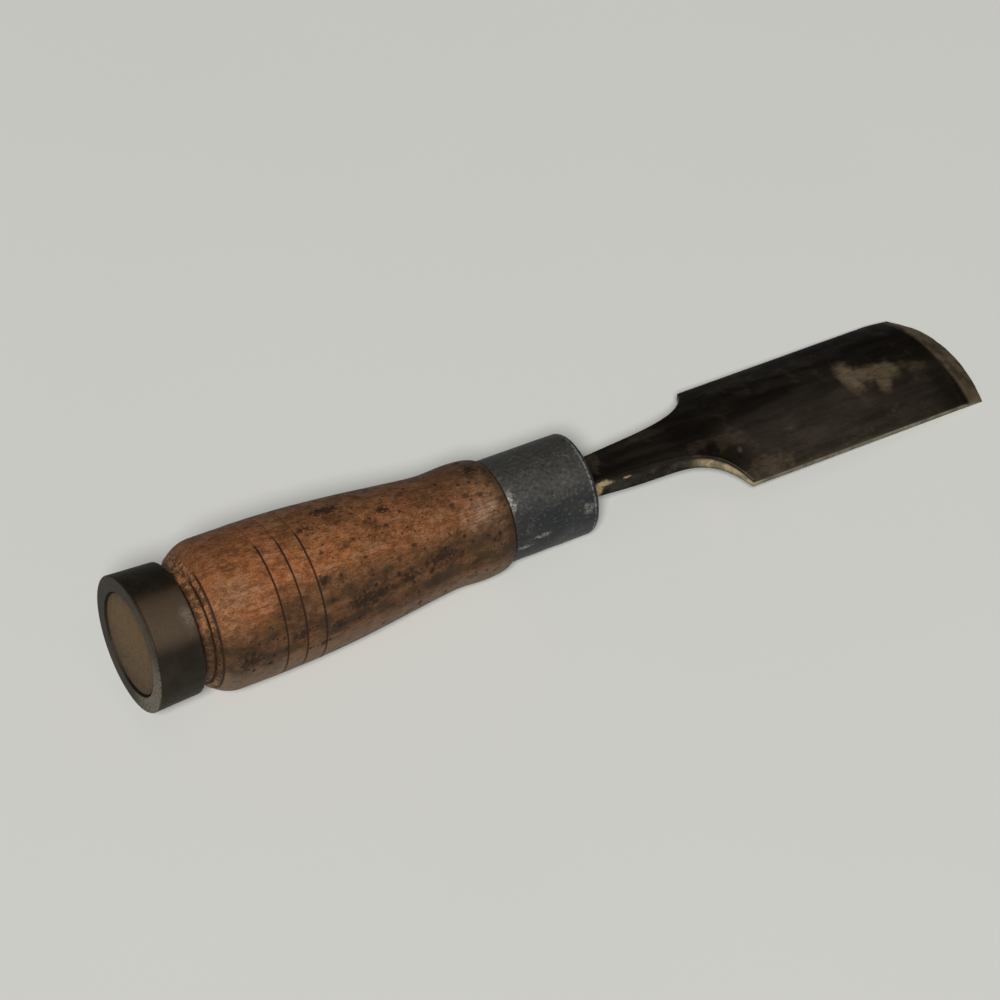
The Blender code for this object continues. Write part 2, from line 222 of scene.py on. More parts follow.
class Finishes(PropertyGroup):
    """Colours of the wood, the metals and the floor."""

    wood: colour("Wood", "Worn oiled wood", (0.285, 0.094, 0.031))
    wood_brown: colour("Brown wood", "Darker clouds in the wood", (0.190, 0.076, 0.026))
    wood_light: colour("Light wood", "Light flecks", (0.380, 0.190, 0.096))
    wood_dark: colour("Dark wood", "Dark flecks", (0.080, 0.031, 0.010))
    wood_stain: colour("Stains", "Old stains and specks", (0.018, 0.010, 0.006))
    wood_grey: colour("Dull wood", "Dull wood towards the nose", (0.152, 0.065, 0.026))
    # Painted shade on the wood, with some grime in its cracks and joins
    wood_grime_and_shade: colour("Grime and painted shade", "Painted shade low on one side, and grime", (0.040, 0.023, 0.011))
    wood_line: colour("Scribed lines", "Dirt in the lines and grooves", (0.026, 0.011, 0.005))
    wood_under: colour("Wood below", "Dull wood on the underside", (0.140, 0.096, 0.062))
    # Painted highlights on the nose and the belly
    wood_highlight: colour("Painted highlights", "Painted highlight on the wood", (0.420, 0.290, 0.205))
    wood_end: colour("End wood", "Face inside the hoop", (0.122, 0.075, 0.030))
    # Laid along the side that faces the light, as satin brown steel with a painted sheen
    hoop: colour("Hoop", "Satin brown steel with a painted sheen", (0.098, 0.065, 0.037))
    hoop_dark: colour("Dark hoop", "Stained steel", (0.018, 0.012, 0.006))
    hoop_end: colour("Hoop end", "Rim of the hoop", (0.044, 0.035, 0.023))
    hoop_rub: colour("Rubbed hoop", "Bare spots at the rims", (0.300, 0.255, 0.195))
    ferrule: colour("Ferrule", "Grey iron", (0.070, 0.067, 0.058))
    # Painted shade on the underside of the ferrule
    ferrule_shade: colour("Shaded ferrule", "Painted shade on the lower, bluer iron", (0.020, 0.024, 0.025))
    ferrule_dark: colour("Dark ferrule", "Oiled iron", (0.022, 0.021, 0.019))
    ferrule_pale: colour("Pale ferrule", "Scratches and flecks", (0.250, 0.238, 0.218))
    ferrule_rub: colour("Rubbed ferrule", "Rubbed spots", (0.370, 0.340, 0.300))
    blade: colour("Blade", "Blackened steel", (0.014, 0.011, 0.008))
    blade_brown: colour("Brown blade", "Rust-brown steel", (0.060, 0.047, 0.035))
    blade_bare: colour("Bare steel", "Where the black has worn off", (0.210, 0.152, 0.098))
    blade_olive: colour("Olive steel", "Olive side of the bare patch", (0.210, 0.162, 0.090))
    blade_ground: colour("Ground steel", "Worn bevel", (0.205, 0.155, 0.096))
    # Rubbed steel, partly a painted reflection of the floor
    blade_wall: colour("Blade sides", "Rubbed sides with a painted reflection", (0.275, 0.256, 0.196))
    blade_straw: colour("Straw", "Bright straw-coloured spots", (0.430, 0.328, 0.180))
    blade_sheen: colour("Sheen", "Reflection at a low angle", (0.250, 0.220, 0.200))
    floor: colour("Floor", "Pale floor", (0.700, 0.697, 0.655))


class StageSettings(PropertyGroup):
    """Floor, lights and camera."""

    floor_size: length("Floor size", "Side of the floor", 30.0)
    sky: share("Sky", "Strength of the even light", 0.07)
    key: share("Key", "Power of the large light behind the camera", 905.0)
    key_size: length("Key size", "Across the large light", 2.2)
    key_place: position("Key place", "Middle of the large light", (-3.285, -5.40, 6.408))
    azimuth: angle("Azimuth", "Direction of the view, 0 looks along Y", -28.673)
    elevation: angle("Elevation", "How far the camera looks down", 45.928)
    roll: angle("Roll", "Lean of the camera to the right", 1.704)
    distance: length("Distance", "From the camera to its aim", 0.9929)
    aim: position("Aim", "Point in the middle of the view", (-0.0127154, 0.0053288, 0.0117622))
    lens: FloatProperty(name="Lens", description="Focal length", default=144.0, unit="CAMERA")


# Small helpers for node trees

class Value:
    """What a node gives, which can be reckoned with like a number."""

    def __init__(self, tree, socket):
        """Keep the node tree and the socket."""
        self.tree = tree
        self.socket = socket

    def __add__(self, other):
        """Sum with another value."""
        return calc(self.tree, "ADD", self, other)

    def __sub__(self, other):
        """What is left without another value."""
        return calc(self.tree, "SUBTRACT", self, other)

    def __mul__(self, other):
        """Product with another value."""
        return calc(self.tree, "MULTIPLY", self, other)

    def ramp(self, low, high, start=0.0, end=1.0):
        """Ease from start where this value is low to end where it is high."""
        inputs = {"Value": self, "From Min": low, "From Max": high, "To Min": start, "To Max": end}
        return output(self.tree, "ShaderNodeMapRange", inputs, interpolation_type="SMOOTHSTEP")

    def blend(self, under, over):
        """Number laid over another one, with this value as the mask."""
        return output(self.tree, "ShaderNodeMix", {0: self, 2: under, 3: over}, data_type="FLOAT")


def feed(tree, socket, value):
    """Link a socket to what another node gives, or set it."""
    if isinstance(value, Value):
        tree.links.new(value.socket, socket)
    else:
        socket.default_value = value


def add(tree, kind, inputs=None, **settings):
    """Add a node with its settings and inputs."""
    made = tree.nodes.new(kind)
    for name, value in settings.items():
        setattr(made, name, value)
    for key, value in (inputs or {}).items():
        feed(tree, made.inputs[key], value)
    return made


def output(tree, kind, inputs=None, socket=0, **settings):
    """What a new node gives."""
    return Value(tree, add(tree, kind, inputs, **settings).outputs[socket])


def calc(tree, operation, first, second=0.0, clamp=False):
    """What a Math node gives."""
    return output(tree, "ShaderNodeMath", {0: first, 1: second}, operation=operation, use_clamp=clamp)


def most(first, *others):
    """The largest of several values."""
    for other in others:
        first = calc(first.tree, "MAXIMUM", first, other)
    return first


def vector(operation, first, second=ORIGIN, socket=0):
    """What a Vector Math node gives."""
    return output(first.tree, "ShaderNodeVectorMath", {0: first, 1: second}, socket, operation=operation)


def clouded(place, scale, detail, roughness=0.5, socket=0):
    """Soft random pattern at a place."""
    inputs = {"Vector": place, "Scale": scale, "Detail": detail, "Roughness": roughness}
    return output(place.tree, "ShaderNodeTexNoise", inputs, socket)


def coordinate(place, axis):
    """One coordinate of a place."""
    return output(place.tree, "ShaderNodeSeparateXYZ", {0: place}, axis)


def carried(tree, name):
    """Value that the points of a piece carry."""
    return output(tree, "ShaderNodeAttribute", socket="Fac", attribute_name=name)


def opaque(tint):
    """Colour with its alpha, or a colour that a node gives."""
    return tint if isinstance(tint, Value) else (*tint, 1.0)


def layers(tint, *coats):
    """Colour with coats of (mask, colour) laid over it one after the other."""
    for mask, over in coats:
        inputs = {0: mask, 6: opaque(tint), 7: opaque(over)}
        tint = output(mask.tree, "ShaderNodeMix", inputs, socket=2, data_type="RGBA")
    return tint


# Effects that several finishes share

def grain_effect(place, along, across, detail):
    """Streaks drawn out along the tool."""
    stretch = output(place.tree, "ShaderNodeCombineXYZ", {"X": along, "Y": across, "Z": across})
    return clouded(vector("MULTIPLY", place, stretch), 1.0, detail)


def speck_effect(place, cell, filled, size):
    """Scattered small spots with uneven rims."""
    tree = place.tree
    ragged = clouded(place, 1.6, 2.0, socket="Color")
    shifted = vector("ADD", place, vector("SUBTRACT", ragged, (0.5, 0.5, 0.5)))
    inputs = {"Vector": shifted, "Scale": calc(tree, "DIVIDE", 1.0, cell)}
    cells = add(tree, "ShaderNodeTexVoronoi", inputs).outputs
    chance = add(tree, "ShaderNodeSeparateColor", {0: Value(tree, cells["Color"])}).outputs
    reach = size * Value(tree, chance[1]).ramp(0.0, 1.0, 0.35, 1.0)
    dots = Value(tree, cells["Distance"]).ramp(reach, reach * 0.3)
    return dots * calc(tree, "LESS_THAN", Value(tree, chance[0]), filled)


def patch_effect(place, scale, start, full):
    """Ragged blotches."""
    return clouded(place, scale, 6.0, 0.62).ramp(start, full)


def spot_effect(place, centre, reach, turn, ragged, fineness, soft):
    """One ragged spot round a place on the tool."""
    away = vector("SUBTRACT", place, centre)
    turned = output(place.tree, "ShaderNodeVectorRotate", {"Vector": away, "Angle": turn}, invert=True)
    far = vector("LENGTH", vector("DIVIDE", turned, reach), socket="Value")
    tear = (clouded(place, fineness, 4.0) - 0.5) * ragged
    return (far + tear).ramp(1.0, calc(place.tree, "SUBTRACT", 1.0, soft))


def scratch_effect(place, turn, width, drawn_out):
    """Thin stray scratches, drawn out in one direction."""
    turned = output(place.tree, "ShaderNodeVectorRotate", {"Vector": place, "Angle": turn})
    stretch = output(place.tree, "ShaderNodeCombineXYZ", {"X": drawn_out, "Y": 1.1, "Z": 1.1})
    waves = clouded(vector("MULTIPLY", turned, stretch), 1.0, 2.0)
    lines = calc(place.tree, "ABSOLUTE", waves - 0.5).ramp(width, 0.0)
    return lines * clouded(place, 0.22, 3.0).ramp(0.5, 0.68)


def band_effect(place, first, last, soft):
    """Stretch of the tool between two stations."""
    station = coordinate(place, "X")
    return station.ramp(first - soft, first) * station.ramp(last, last + soft, 1.0, 0.0)


def facing_effect(place, towards):
    """How squarely a place round the tool's axis faces a direction, 1 where it faces it fully."""
    out = vector("NORMALIZE", vector("MULTIPLY", place, (0.0, 1.0, 1.0)))
    return vector("DOT_PRODUCT", out, vector("NORMALIZE", towards), socket="Value")


# For each effect: what builds it, what it gives, and its inputs after the place
EFFECTS = {
    "Grain": (grain_effect, "Value", {"Along": 0.2, "Across": 1.0, "Detail": 3.0}),
    "Specks": (speck_effect, "Mask", {"Cell": 2.0, "Filled": 0.4, "Size": 0.3}),
    "Patches": (patch_effect, "Mask", {"Scale": 0.1, "Start": 0.5, "Full": 0.6}),
    "Spot": (spot_effect, "Mask", {
        "Centre": ORIGIN,
        "Reach": (1.0, 1.0, 1.0),
        "Turn": 0.0,
        "Ragged": 0.8,
        "Fineness": 0.4,
        "Soft": 0.4,
    }),
    "Scratches": (scratch_effect, "Mask", {"Turn": 0.4, "Width": 0.02, "Length": 0.12}),
    "Band": (band_effect, "Mask", {"From": 0.0, "To": 1.0, "Soft": 0.5}),
    "Facing": (facing_effect, "Value", {"Towards": (0.0, 0.0, 1.0)}),
}


def effect_group(name):
    """Shader group of a shared effect, built when it is first asked for."""
    if name in bpy.data.node_groups:
        return bpy.data.node_groups[name]
    build, result, inputs = EFFECTS[name]
    inputs = {"Place": ORIGIN, **inputs}
    group = bpy.data.node_groups.new(name, "ShaderNodeTree")
    for label, default in inputs.items():
        kind = "NodeSocketVector" if isinstance(default, tuple) else "NodeSocketFloat"
        group.interface.new_socket(label, in_out="INPUT", socket_type=kind).default_value = default
    group.interface.new_socket(result, in_out="OUTPUT", socket_type="NodeSocketFloat")
    given = group.nodes.new("NodeGroupInput").outputs
    made = build(*[Value(group, given[label]) for label in inputs])
    feed(group, group.nodes.new("NodeGroupOutput").inputs[result], made)
    return group


def effect(place, name, **inputs):
    """What a shared effect gives at a place on the tool."""
    return output(place.tree, "ShaderNodeGroup", {"Place": place, **inputs}, node_tree=effect_group(name))


def spot(place, centre, reach, ragged, fineness, soft, turn=0.0):
    """Mask of one ragged spot, its centre and reach in millimetres and its turn in degrees."""
    inputs = {"Centre": centre, "Reach": reach, "Turn": math.radians(turn), "Ragged": ragged}
    return effect(place, "Spot", Fineness=fineness, Soft=soft, **inputs)


# Finishes

# Centre and reach of each stain in the wood
STAINS = (
    ((55.5, -17.2, 5.2), (7.0, 3.0, 2.8)),
    ((67.5, -15.6, 5.7), (3.4, 2.4, 2.2)),
    ((77.2, -13.9, 6.7), (6.0, 2.5, 2.8)),
    ((46.8, -18.4, 2.4), (3.2, 2.0, 1.8)),
    ((36.7, -18.7, 3.2), (2.8, 2.0, 1.8)),
    ((45.3, -13.5, 12.8), (1.9, 1.7, 1.7)),
    ((54.4, 3.3, 17.6), (5.5, 2.6, 2.0)),
    ((66.7, -1.6, 16.6), (3.2, 1.2, 1.6)),
    ((93.6, 2.8, 14.8), (3.4, 2.8, 2.0)),
    ((46.4, -0.8, 18.6), (3.0, 1.2, 1.5)),
    ((23.0, -19.0, 1.0), (4.5, 2.0, 4.0)),
)
# Centre, reach, turn, raggedness and strength of each bare spot on the blade
BARE = (
    ((204.2, -0.7, 2.0), (3.6, 8.0, 9.0), 0.0, 0.7, 1.0),
    ((208.6, -1.8, 2.0), (6.0, 3.8, 9.0), -10.0, 0.7, 1.0),
    ((213.2, -2.4, 2.0), (6.2, 4.2, 9.0), -14.0, 0.7, 1.0),
    ((211.6, -5.2, 2.0), (2.8, 5.2, 9.0), -10.0, 0.7, 1.0),
    ((220.0, -3.6, 2.0), (8.0, 2.2, 9.0), -26.0, 1.2, 0.22),
    ((171.8, -16.1, 2.0), (7.0, 3.2, 9.0), 0.0, 2.2, 0.28),
    ((163.9, -5.9, 2.0), (6.0, 3.0, 9.0), 20.0, 2.2, 0.22),
    ((155.8, -5.6, 2.0), (6.0, 2.4, 9.0), 10.0, 2.2, 0.2),
    ((175.0, 13.0, 2.0), (9.0, 3.2, 9.0), 0.0, 2.2, 0.18),
    ((145.8, 4.0, 2.0), (6.0, 2.2, 9.0), 0.0, 2.2, 0.18),
    ((128.0, 1.2, 2.0), (3.6, 4.4, 9.0), 0.0, 2.2, 0.26),
    ((165.4, -9.9, 2.0), (0.9, 1.0, 9.0), 0.0, 0.7, 0.35),
)
# Centre and reach of each straw-coloured spot on the neck's near side, bare steel with a painted reflection
STRAW = (
    ((127.2, -4.4, -0.5), (1.8, 1.8, 3.2)),
    ((128.6, -4.4, 1.1), (3.2, 1.8, 1.5)),
    ((135.1, -4.4, 1.2), (1.7, 1.6, 0.8)),
)
FLOOR_MOTTLING = 0.97


def new_material(name):
    """New material with nodes."""
    material = bpy.data.materials.new(name)
    material.use_nodes = True
    return material


def start_finish(name):
    """New material, and the place on the tool in millimetres."""
    material = new_material(name)
    back = TOOL_POSE.inverted()
    inputs = {
        "Vector": output(material.node_tree, "ShaderNodeTexCoord", socket="Object"),
        "Location": back.translation * MILLIMETRES,
        "Rotation": back.to_euler(),
        "Scale": (MILLIMETRES, MILLIMETRES, MILLIMETRES),
    }
    return material, output(material.node_tree, "ShaderNodeMapping", inputs)


def end_finish(material, inputs):
    """Feed the surface of a material."""
    surface = material.node_tree.nodes["Principled BSDF"]
    for label, value in inputs.items():
        feed(material.node_tree, surface.inputs[label], value)
    return material


def raised(height, depth):
    """Normal of a surface raised by a height, depth in metres for a height of one."""
    return output(height.tree, "ShaderNodeBump", {"Height": height, "Distance": depth, "Strength": 1.0})


def wood_finish(tones):
    """Worn, stained and oiled turned wood, with painted shade and painted highlights."""
    material, place = start_finish("worn_wood")
    station = coordinate(place, "X")
    grime = carried(place.tree, "grime")
    flecks = effect(place, "Grain", Along=0.42, Across=1.9, Detail=5.0)
    fine = effect(place, "Grain", Along=1.3, Across=3.2, Detail=5.0)
    grit = effect(place, "Grain", Along=2.2, Across=3.0, Detail=2.0)
    blush = effect(place, "Grain", Along=0.55, Across=0.75, Detail=4.0)
    mottle = effect(place, "Grain", Along=0.16, Across=0.34, Detail=6.0)
    clouds = effect(place, "Patches", Scale=0.08, Start=0.40, Full=0.64)
    # Painted shade in a long mottled band low on one side, and more thinly over the top
    low = effect(place, "Facing", Towards=(0.0, -0.96, 0.26)).ramp(0.78, 0.985)
    top = effect(place, "Facing", Towards=(0.0, 0.42, 0.91)).ramp(0.66, 0.97)
    lowest_shade = effect(place, "Facing", Towards=(0.0, -1.0, 0.04)).ramp(0.78, 0.995)
    low = station.ramp(24.0, 38.0).blend(lowest_shade, low)
    shade_band = most(low, top * station.ramp(66.0, 92.0, 0.28, 0.62)) * mottle.ramp(0.34, 0.62, 1.0, 0.66)
    under = effect(place, "Facing", Towards=(0.0, -0.45, -0.89)).ramp(0.42, 0.76, 0.0, 0.85)
    # Painted shade makes the wood darkest low beside the beads, and a painted shadow with grime darkens the
    # rim behind the ferrule
    shade = spot(place, (20.0, -18.6, 1.5), (6.0, 4.0, 8.0), 1.2, 0.4, 1.0) * 0.6
    rim = effect(place, "Band", From=97.2, To=99.5, Soft=2.6)
    rim = rim * (blush.ramp(0.36, 0.56, 0.3, 1.0) * top.ramp(0.0, 1.0, 0.55, 0.95))
    # Old stains and specks, most of them in front of the scribed lines
    dirt = most(low * 0.8, station.ramp(28.0, 58.0, 0.15, 0.7))
    blots = effect(place, "Patches", Scale=0.30, Start=0.50, Full=0.70)
    stains = [spot(place, centre, reach, 3.0, 1.0, 0.8) * 0.85 for centre, reach in STAINS]
    smudges = effect(place, "Specks", Cell=4.6, Filled=0.50, Size=0.30)
    specks = effect(place, "Specks", Cell=2.6, Filled=0.50, Size=0.30)
    crumbs = effect(place, "Specks", Cell=1.2, Filled=0.45, Size=0.36)
    dots = most(smudges, specks, crumbs) * dirt.ramp(0.1, 0.7, 0.2, 0.85)
    # Painted highlights: a soft one on the nose and a faint one on the belly
    nose_highlight = spot(place, (91.0, -9.6, 11.8), (7.0, 6.0, 5.0), 2.0, 0.4, 1.0)
    nose_highlight = nose_highlight * flecks.ramp(0.60, 0.36, 0.08, 0.38)
    belly_highlight = spot(place, (24.0, -11.0, 15.5), (7.0, 5.0, 4.0), 1.4, 0.25, 1.0)
    belly_highlight = belly_highlight * flecks.ramp(0.64, 0.40, 0.03, 0.16)
    # Crushed wood beside the hoop, with grime and painted shade in its cracks and painted shade low down
    ring = effect(place, "Band", From=12.4, To=16.4, Soft=0.3)
    cracks = effect(place, "Patches", Scale=0.62, Start=0.44, Full=0.60)
    ring_tint = layers(
        tones.wood_brown,
        (grit.ramp(0.42, 0.62), tones.wood_light),
        (cracks * 0.9, tones.wood_grime_and_shade),
        (lowest_shade * 0.75, tones.wood_grime_and_shade),
    )
    # The scribed lines are dark, and rubbed away over the top
    rubbed = effect(place, "Facing", Towards=(0.0, 0.40, 0.92)).ramp(0.84, 0.94, 1.4, 0.0)
    rubbed = calc(place.tree, "MULTIPLY", rubbed, grime, clamp=True)
    # End of the wood inside the hoop
    rings = effect(place, "Patches", Scale=0.45, Start=0.35, Full=0.75)
    end_tint = layers(
        tones.wood_end,
        (rings * 0.45, tones.wood_dark),
        # Darker towards the bottom of the end
        (coordinate(place, "Z").ramp(4.0, -13.0, 0.0, 0.5), tones.wood_grime_and_shade),
        (crumbs * 0.4, tones.wood_grime_and_shade),
        (blush.ramp(0.50, 0.66, 0.0, 0.35), tones.wood_under),
        (grime * 0.95, tones.wood_stain),
    )
    # The wood is duller towards the nose, and browner beside the hoop
    tint = layers(
        tones.wood,
        (clouds, tones.wood_brown),
        (mottle.ramp(0.48, 0.70, 0.0, 0.60), tones.wood_light),
        (mottle.ramp(0.50, 0.32, 0.0, 0.55), tones.wood_dark),
        (station.ramp(20.0, 100.0, 0.0, 0.66), tones.wood_grey),
        (station.ramp(82.0, 99.0, 0.0, 0.60), tones.wood_under),
        (station.ramp(36.0, 18.0, 0.0, 0.40), tones.wood_brown),
        (flecks.ramp(0.46, 0.66, 0.0, 0.60), tones.wood_dark),
        (fine.ramp(0.50, 0.70, 0.0, 0.45), tones.wood_light),
        (grit.ramp(0.50, 0.30, 0.0, 0.60), tones.wood_dark),
        (blush.ramp(0.52, 0.68, 0.0, 0.30), tones.wood_light),
        (blush.ramp(0.49, 0.34, 0.0, 0.45), tones.wood_dark),
        (shade_band, tones.wood_grime_and_shade),
        (under, tones.wood_under),
        (most(shade, rim), tones.wood_grime_and_shade),
        (most(blots * dirt * 0.8, *stains), tones.wood_stain),
        (dots, tones.wood_stain),
        (most(nose_highlight, belly_highlight), tones.wood_highlight),
        (ring * 0.85, ring_tint),
        (station.ramp(60.0, 62.0).blend(rubbed, grime), tones.wood_line),
        (station.ramp(2.2, 1.6), end_tint),
    )
    hollows = dots + cracks * ring
    return end_finish(material, {
        "Base Color": tint,
        "Roughness": dots.blend(flecks.ramp(0.3, 0.7, 0.46, 0.70), 0.8),
        "Normal": raised(flecks + fine - hollows * 0.8, 0.00018),
        "Specular IOR Level": 0.12,
    })


def hoop_finish(tones):
    """Dark steel, satin brown with a painted sheen along the side that faces the light, and rubbed at its
    rim.
    """
    material, place = start_finish("hoop_steel")
    fine = effect(place, "Grain", Along=0.9, Across=1.6, Detail=5.0)
    clouds = effect(place, "Patches", Scale=0.18, Start=0.38, Full=0.72)
    # Satin brown band with a painted sheen along the side that faces the light
    rubbed = effect(place, "Facing", Towards=(0.0, -0.53, 0.85)).ramp(0.87, 0.985)
    front = spot(place, (11.0, -10.0, 13.0), (2.6, 4.5, 4.5), 1.6, 0.4, 0.9)
    scratches = effect(place, "Scratches", Turn=0.7, Width=0.012, Length=0.15)
    rim = coordinate(place, "X").ramp(0.40, 0.10)
    worn = effect(place, "Facing", Towards=(0.0, -0.90, -0.40)).ramp(0.45, 0.98, 0.0, 0.7)
    corner = effect(place, "Band", From=0.25, To=0.55, Soft=0.25)
    tint = layers(
        tones.hoop_dark,
        (rubbed, tones.hoop),
        (clouds * 0.4, tones.hoop_dark),
        (fine.ramp(0.48, 0.75, 0.0, 0.4) * rubbed.ramp(0.0, 1.0, 0.3, 1.0), tones.hoop_end),
        (front * fine.ramp(0.35, 0.65, 0.08, 0.42), tones.hoop_rub),
        (scratches * 0.25, tones.hoop_end),
        (rim * fine.ramp(0.30, 0.62, 0.3, 0.9), tones.hoop_end),
        (rim * (worn * fine.ramp(0.36, 0.62, 0.15, 1.0)), tones.hoop_rub),
        (most(carried(place.tree, "grime"), corner * 0.7), tones.hoop_dark),
    )
    return end_finish(material, {
        "Base Color": tint,
        "Roughness": fine.ramp(0.3, 0.75, 0.58, 0.74),
        "Metallic": clouds.blend(0.70, 0.45),
        "Normal": raised(fine - scratches * 0.5, 0.00004),
    })


def ferrule_finish(tones):
    """Matt grey iron with scratches and rubbed spots, painted lighter on top and darker and bluer below as
    shade.
    """
    material, place = start_finish("ferrule_iron")
    fine = effect(place, "Grain", Along=1.1, Across=1.3, Detail=6.0)
    grit = effect(place, "Grain", Along=2.4, Across=2.4, Detail=2.0)
    clouds = effect(place, "Patches", Scale=0.13, Start=0.42, Full=0.70)
    # Painted shade: lighter grey iron on top, darker and bluer below
    upper = effect(place, "Facing", Towards=(0.0, -0.20, 0.98)).ramp(0.58, 0.97)
    first = effect(place, "Scratches", Turn=0.9, Width=0.013, Length=0.30)
    second = effect(place, "Scratches", Turn=2.1, Width=0.011, Length=0.22)
    scratches = most(first, second)
    rear = spot(place, (99.8, -8.0, 10.6), (1.5, 4.2, 3.4), 2.2, 0.9, 0.9)
    low = spot(place, (101.4, -13.2, -1.4), (2.6, 3.0, 0.9), 1.4, 0.7, 0.8)
    lower = spot(place, (106.2, -13.2, 0.5), (3.0, 3.0, 0.9), 1.4, 0.7, 0.8)
    front = spot(place, (119.2, -12.6, 3.6), (2.0, 3.0, 2.6), 2.0, 0.7, 0.8)
    rubbed = most(rear, most(low, lower, front * 0.7) * 0.75)
    # The front rim is dark, with a thin rubbed line where it starts to turn in
    line = effect(place, "Band", From=121.3, To=121.5, Soft=0.3)
    tint = layers(
        tones.ferrule_shade,
        (upper, tones.ferrule),
        (clouds * 0.75, tones.ferrule_dark),
        (fine.ramp(0.52, 0.74, 0.0, 0.22), tones.ferrule_pale),
        (fine.ramp(0.48, 0.28, 0.0, 0.55), tones.ferrule_dark),
        (scratches * 0.5, tones.ferrule_pale),
        (rubbed * grit.ramp(0.38, 0.60, 0.1, 1.0), tones.ferrule_rub),
        (coordinate(place, "X").ramp(121.3, 122.2, 0.0, 0.8), tones.ferrule_dark),
        (line * fine.ramp(0.38, 0.60, 0.0, 0.75), tones.ferrule_pale),
        (carried(place.tree, "grime"), tones.ferrule_dark),
    )
    return end_finish(material, {
        "Base Color": tint,
        "Roughness": fine.ramp(0.3, 0.7, 0.48, 0.66),
        "Metallic": clouds.blend(0.55, 0.30),
        "Normal": raised(fine - scratches * 0.4, 0.00008),
    })


def blade_finish(tones):
    """Blackened forged steel, bare along its sides, at its bevel and in one patch, the pale sides partly a
    painted reflection.
    """
    material, place = start_finish("blade_steel")
    station = coordinate(place, "X")
    across = coordinate(place, "Y")
    down = carried(place.tree, "wall")
    wall = down.ramp(0.0, 0.35) * down.ramp(1.15, 0.75)
    # The grinding starts later on the near side than on the far side
    ground = (carried(place.tree, "ground") - across * -0.016).ramp(-0.05, 0.16)
    streaks = effect(place, "Grain", Along=0.045, Across=0.30, Detail=5.0)
    fine = effect(place, "Grain", Along=0.5, Across=2.2, Detail=4.0)
    clouds = effect(place, "Patches", Scale=0.09, Start=0.40, Full=0.70)
    plate = station.ramp(158.0, 170.0)
    # The near half of the plate is browner, the far half stays black
    brown = across.ramp(5.0, -7.0) * station.ramp(212.0, 196.0, 0.45, 1.0)
    brown = brown * plate * streaks.ramp(0.34, 0.60, 0.55, 1.0)
    haze = effect(place, "Patches", Scale=0.16, Start=0.52, Full=0.80)
    spots = effect(place, "Specks", Cell=5.5, Filled=0.35, Size=0.30)
    # Dark round the pit and behind the bevel, worn bare in one large patch and some small ones
    dark = spot(place, (164.5, -10.4, 2.0), (5.0, 3.6, 9.0), 1.0, 0.3, 0.7)
    stripe = effect(place, "Band", From=226.5, To=229.5, Soft=6.0)
    bare = []
    for centre, reach, turn, ragged, strength in BARE:
        bare.append(spot(place, centre, reach, ragged, 0.4, 0.65, turn) * strength)
    bare = most(*bare) * fine.ramp(0.30, 0.62, 0.60, 1.0) * down.ramp(0.2, -0.4)
    bare_tint = layers(tones.blade_bare, (station.ramp(202.0, 217.0), tones.blade_olive))
    # Ground bevel, mottled brown, with fine marks across it
    marks = effect(place, "Grain", Along=2.4, Across=0.5, Detail=4.0)
    blots = effect(place, "Patches", Scale=0.30, Start=0.40, Full=0.62)
    bevel_tint = layers(
        tones.blade_ground,
        (blots * 0.75, tones.blade_brown),
        (marks.ramp(0.45, 0.75, 0.0, 0.4), tones.blade_brown),
        (across.ramp(-9.0, -17.0, 0.0, 0.6), tones.blade_olive),
    )
    # Sides: dark along the neck, rubbed along the plate, palest along the near side of the swept shoulder;
    # the pale sides are partly a painted reflection of the floor
    rubs = effect(place, "Patches", Scale=0.28, Start=0.36, Full=0.66)
    neck_tint = layers(tones.blade, (rubs * 0.15, tones.blade_wall))
    plate_tint = layers(tones.blade_wall, (rubs * 0.6, tones.blade_brown))
    side_rub_and_reflection = layers(neck_tint, (station.ramp(150.0, 164.0), plate_tint))
    sweep = effect(place, "Band", From=156.5, To=163.5, Soft=5.0) * rubs.ramp(1.0, 0.0, 0.24, 0.80)
    flaked = fine.ramp(0.3, 0.55, 0.5, 0.9)
    straw = [spot(place, centre, reach, 0.9, 1.1, 0.6) * flaked for centre, reach in STRAW]
    # Straw spots and the near side of the swept shoulder: bare steel with a painted reflection
    pale = most(sweep * wall * across.ramp(2.0, -2.0), *straw)
    tint = layers(
        tones.blade,
        (streaks.ramp(0.44, 0.66, 0.0, 0.35), tones.blade_brown),
        (brown, tones.blade_brown),
        (haze * plate * fine.ramp(0.35, 0.65, 0.1, 0.4), tones.blade_bare),
        (spots * brown * 0.5, tones.blade_bare),
        (most(dark * 0.5, stripe * 0.8), tones.blade),
        (bare, bare_tint),
        (ground * 0.95, bevel_tint),
        (wall, side_rub_and_reflection),
        (pale, tones.blade_straw),
    )
    return end_finish(material, {
        "Base Color": tint,
        "Roughness": fine.ramp(0.3, 0.7, 0.40, 0.56),
        "Metallic": most(clouds * 0.4, pale).blend(0.75, 0.25),
        "Specular Tint": opaque(tones.blade_sheen),
        "Normal": raised(fine + marks * ground, 0.00004),
    })


def floor_finish(tones):
    """Plain pale floor with the faintest mottling."""
    material = new_material("pale_floor")
    place = output(material.node_tree, "ShaderNodeTexCoord", socket="Object")
    darker = tuple(FLOOR_MOTTLING * part for part in tones.floor)
    return end_finish(material, {
        "Base Color": layers(tones.floor, (clouded(place, 9.0, 5.0), darker)),
        "Roughness": 0.6,
        "Specular IOR Level": 0.2,
    })


# Turned pieces

QUARTER = math.pi / 2.0
RIM = 0.0001
RIM_STEPS = 6
FULL_WEAR_RADIUS = 0.004


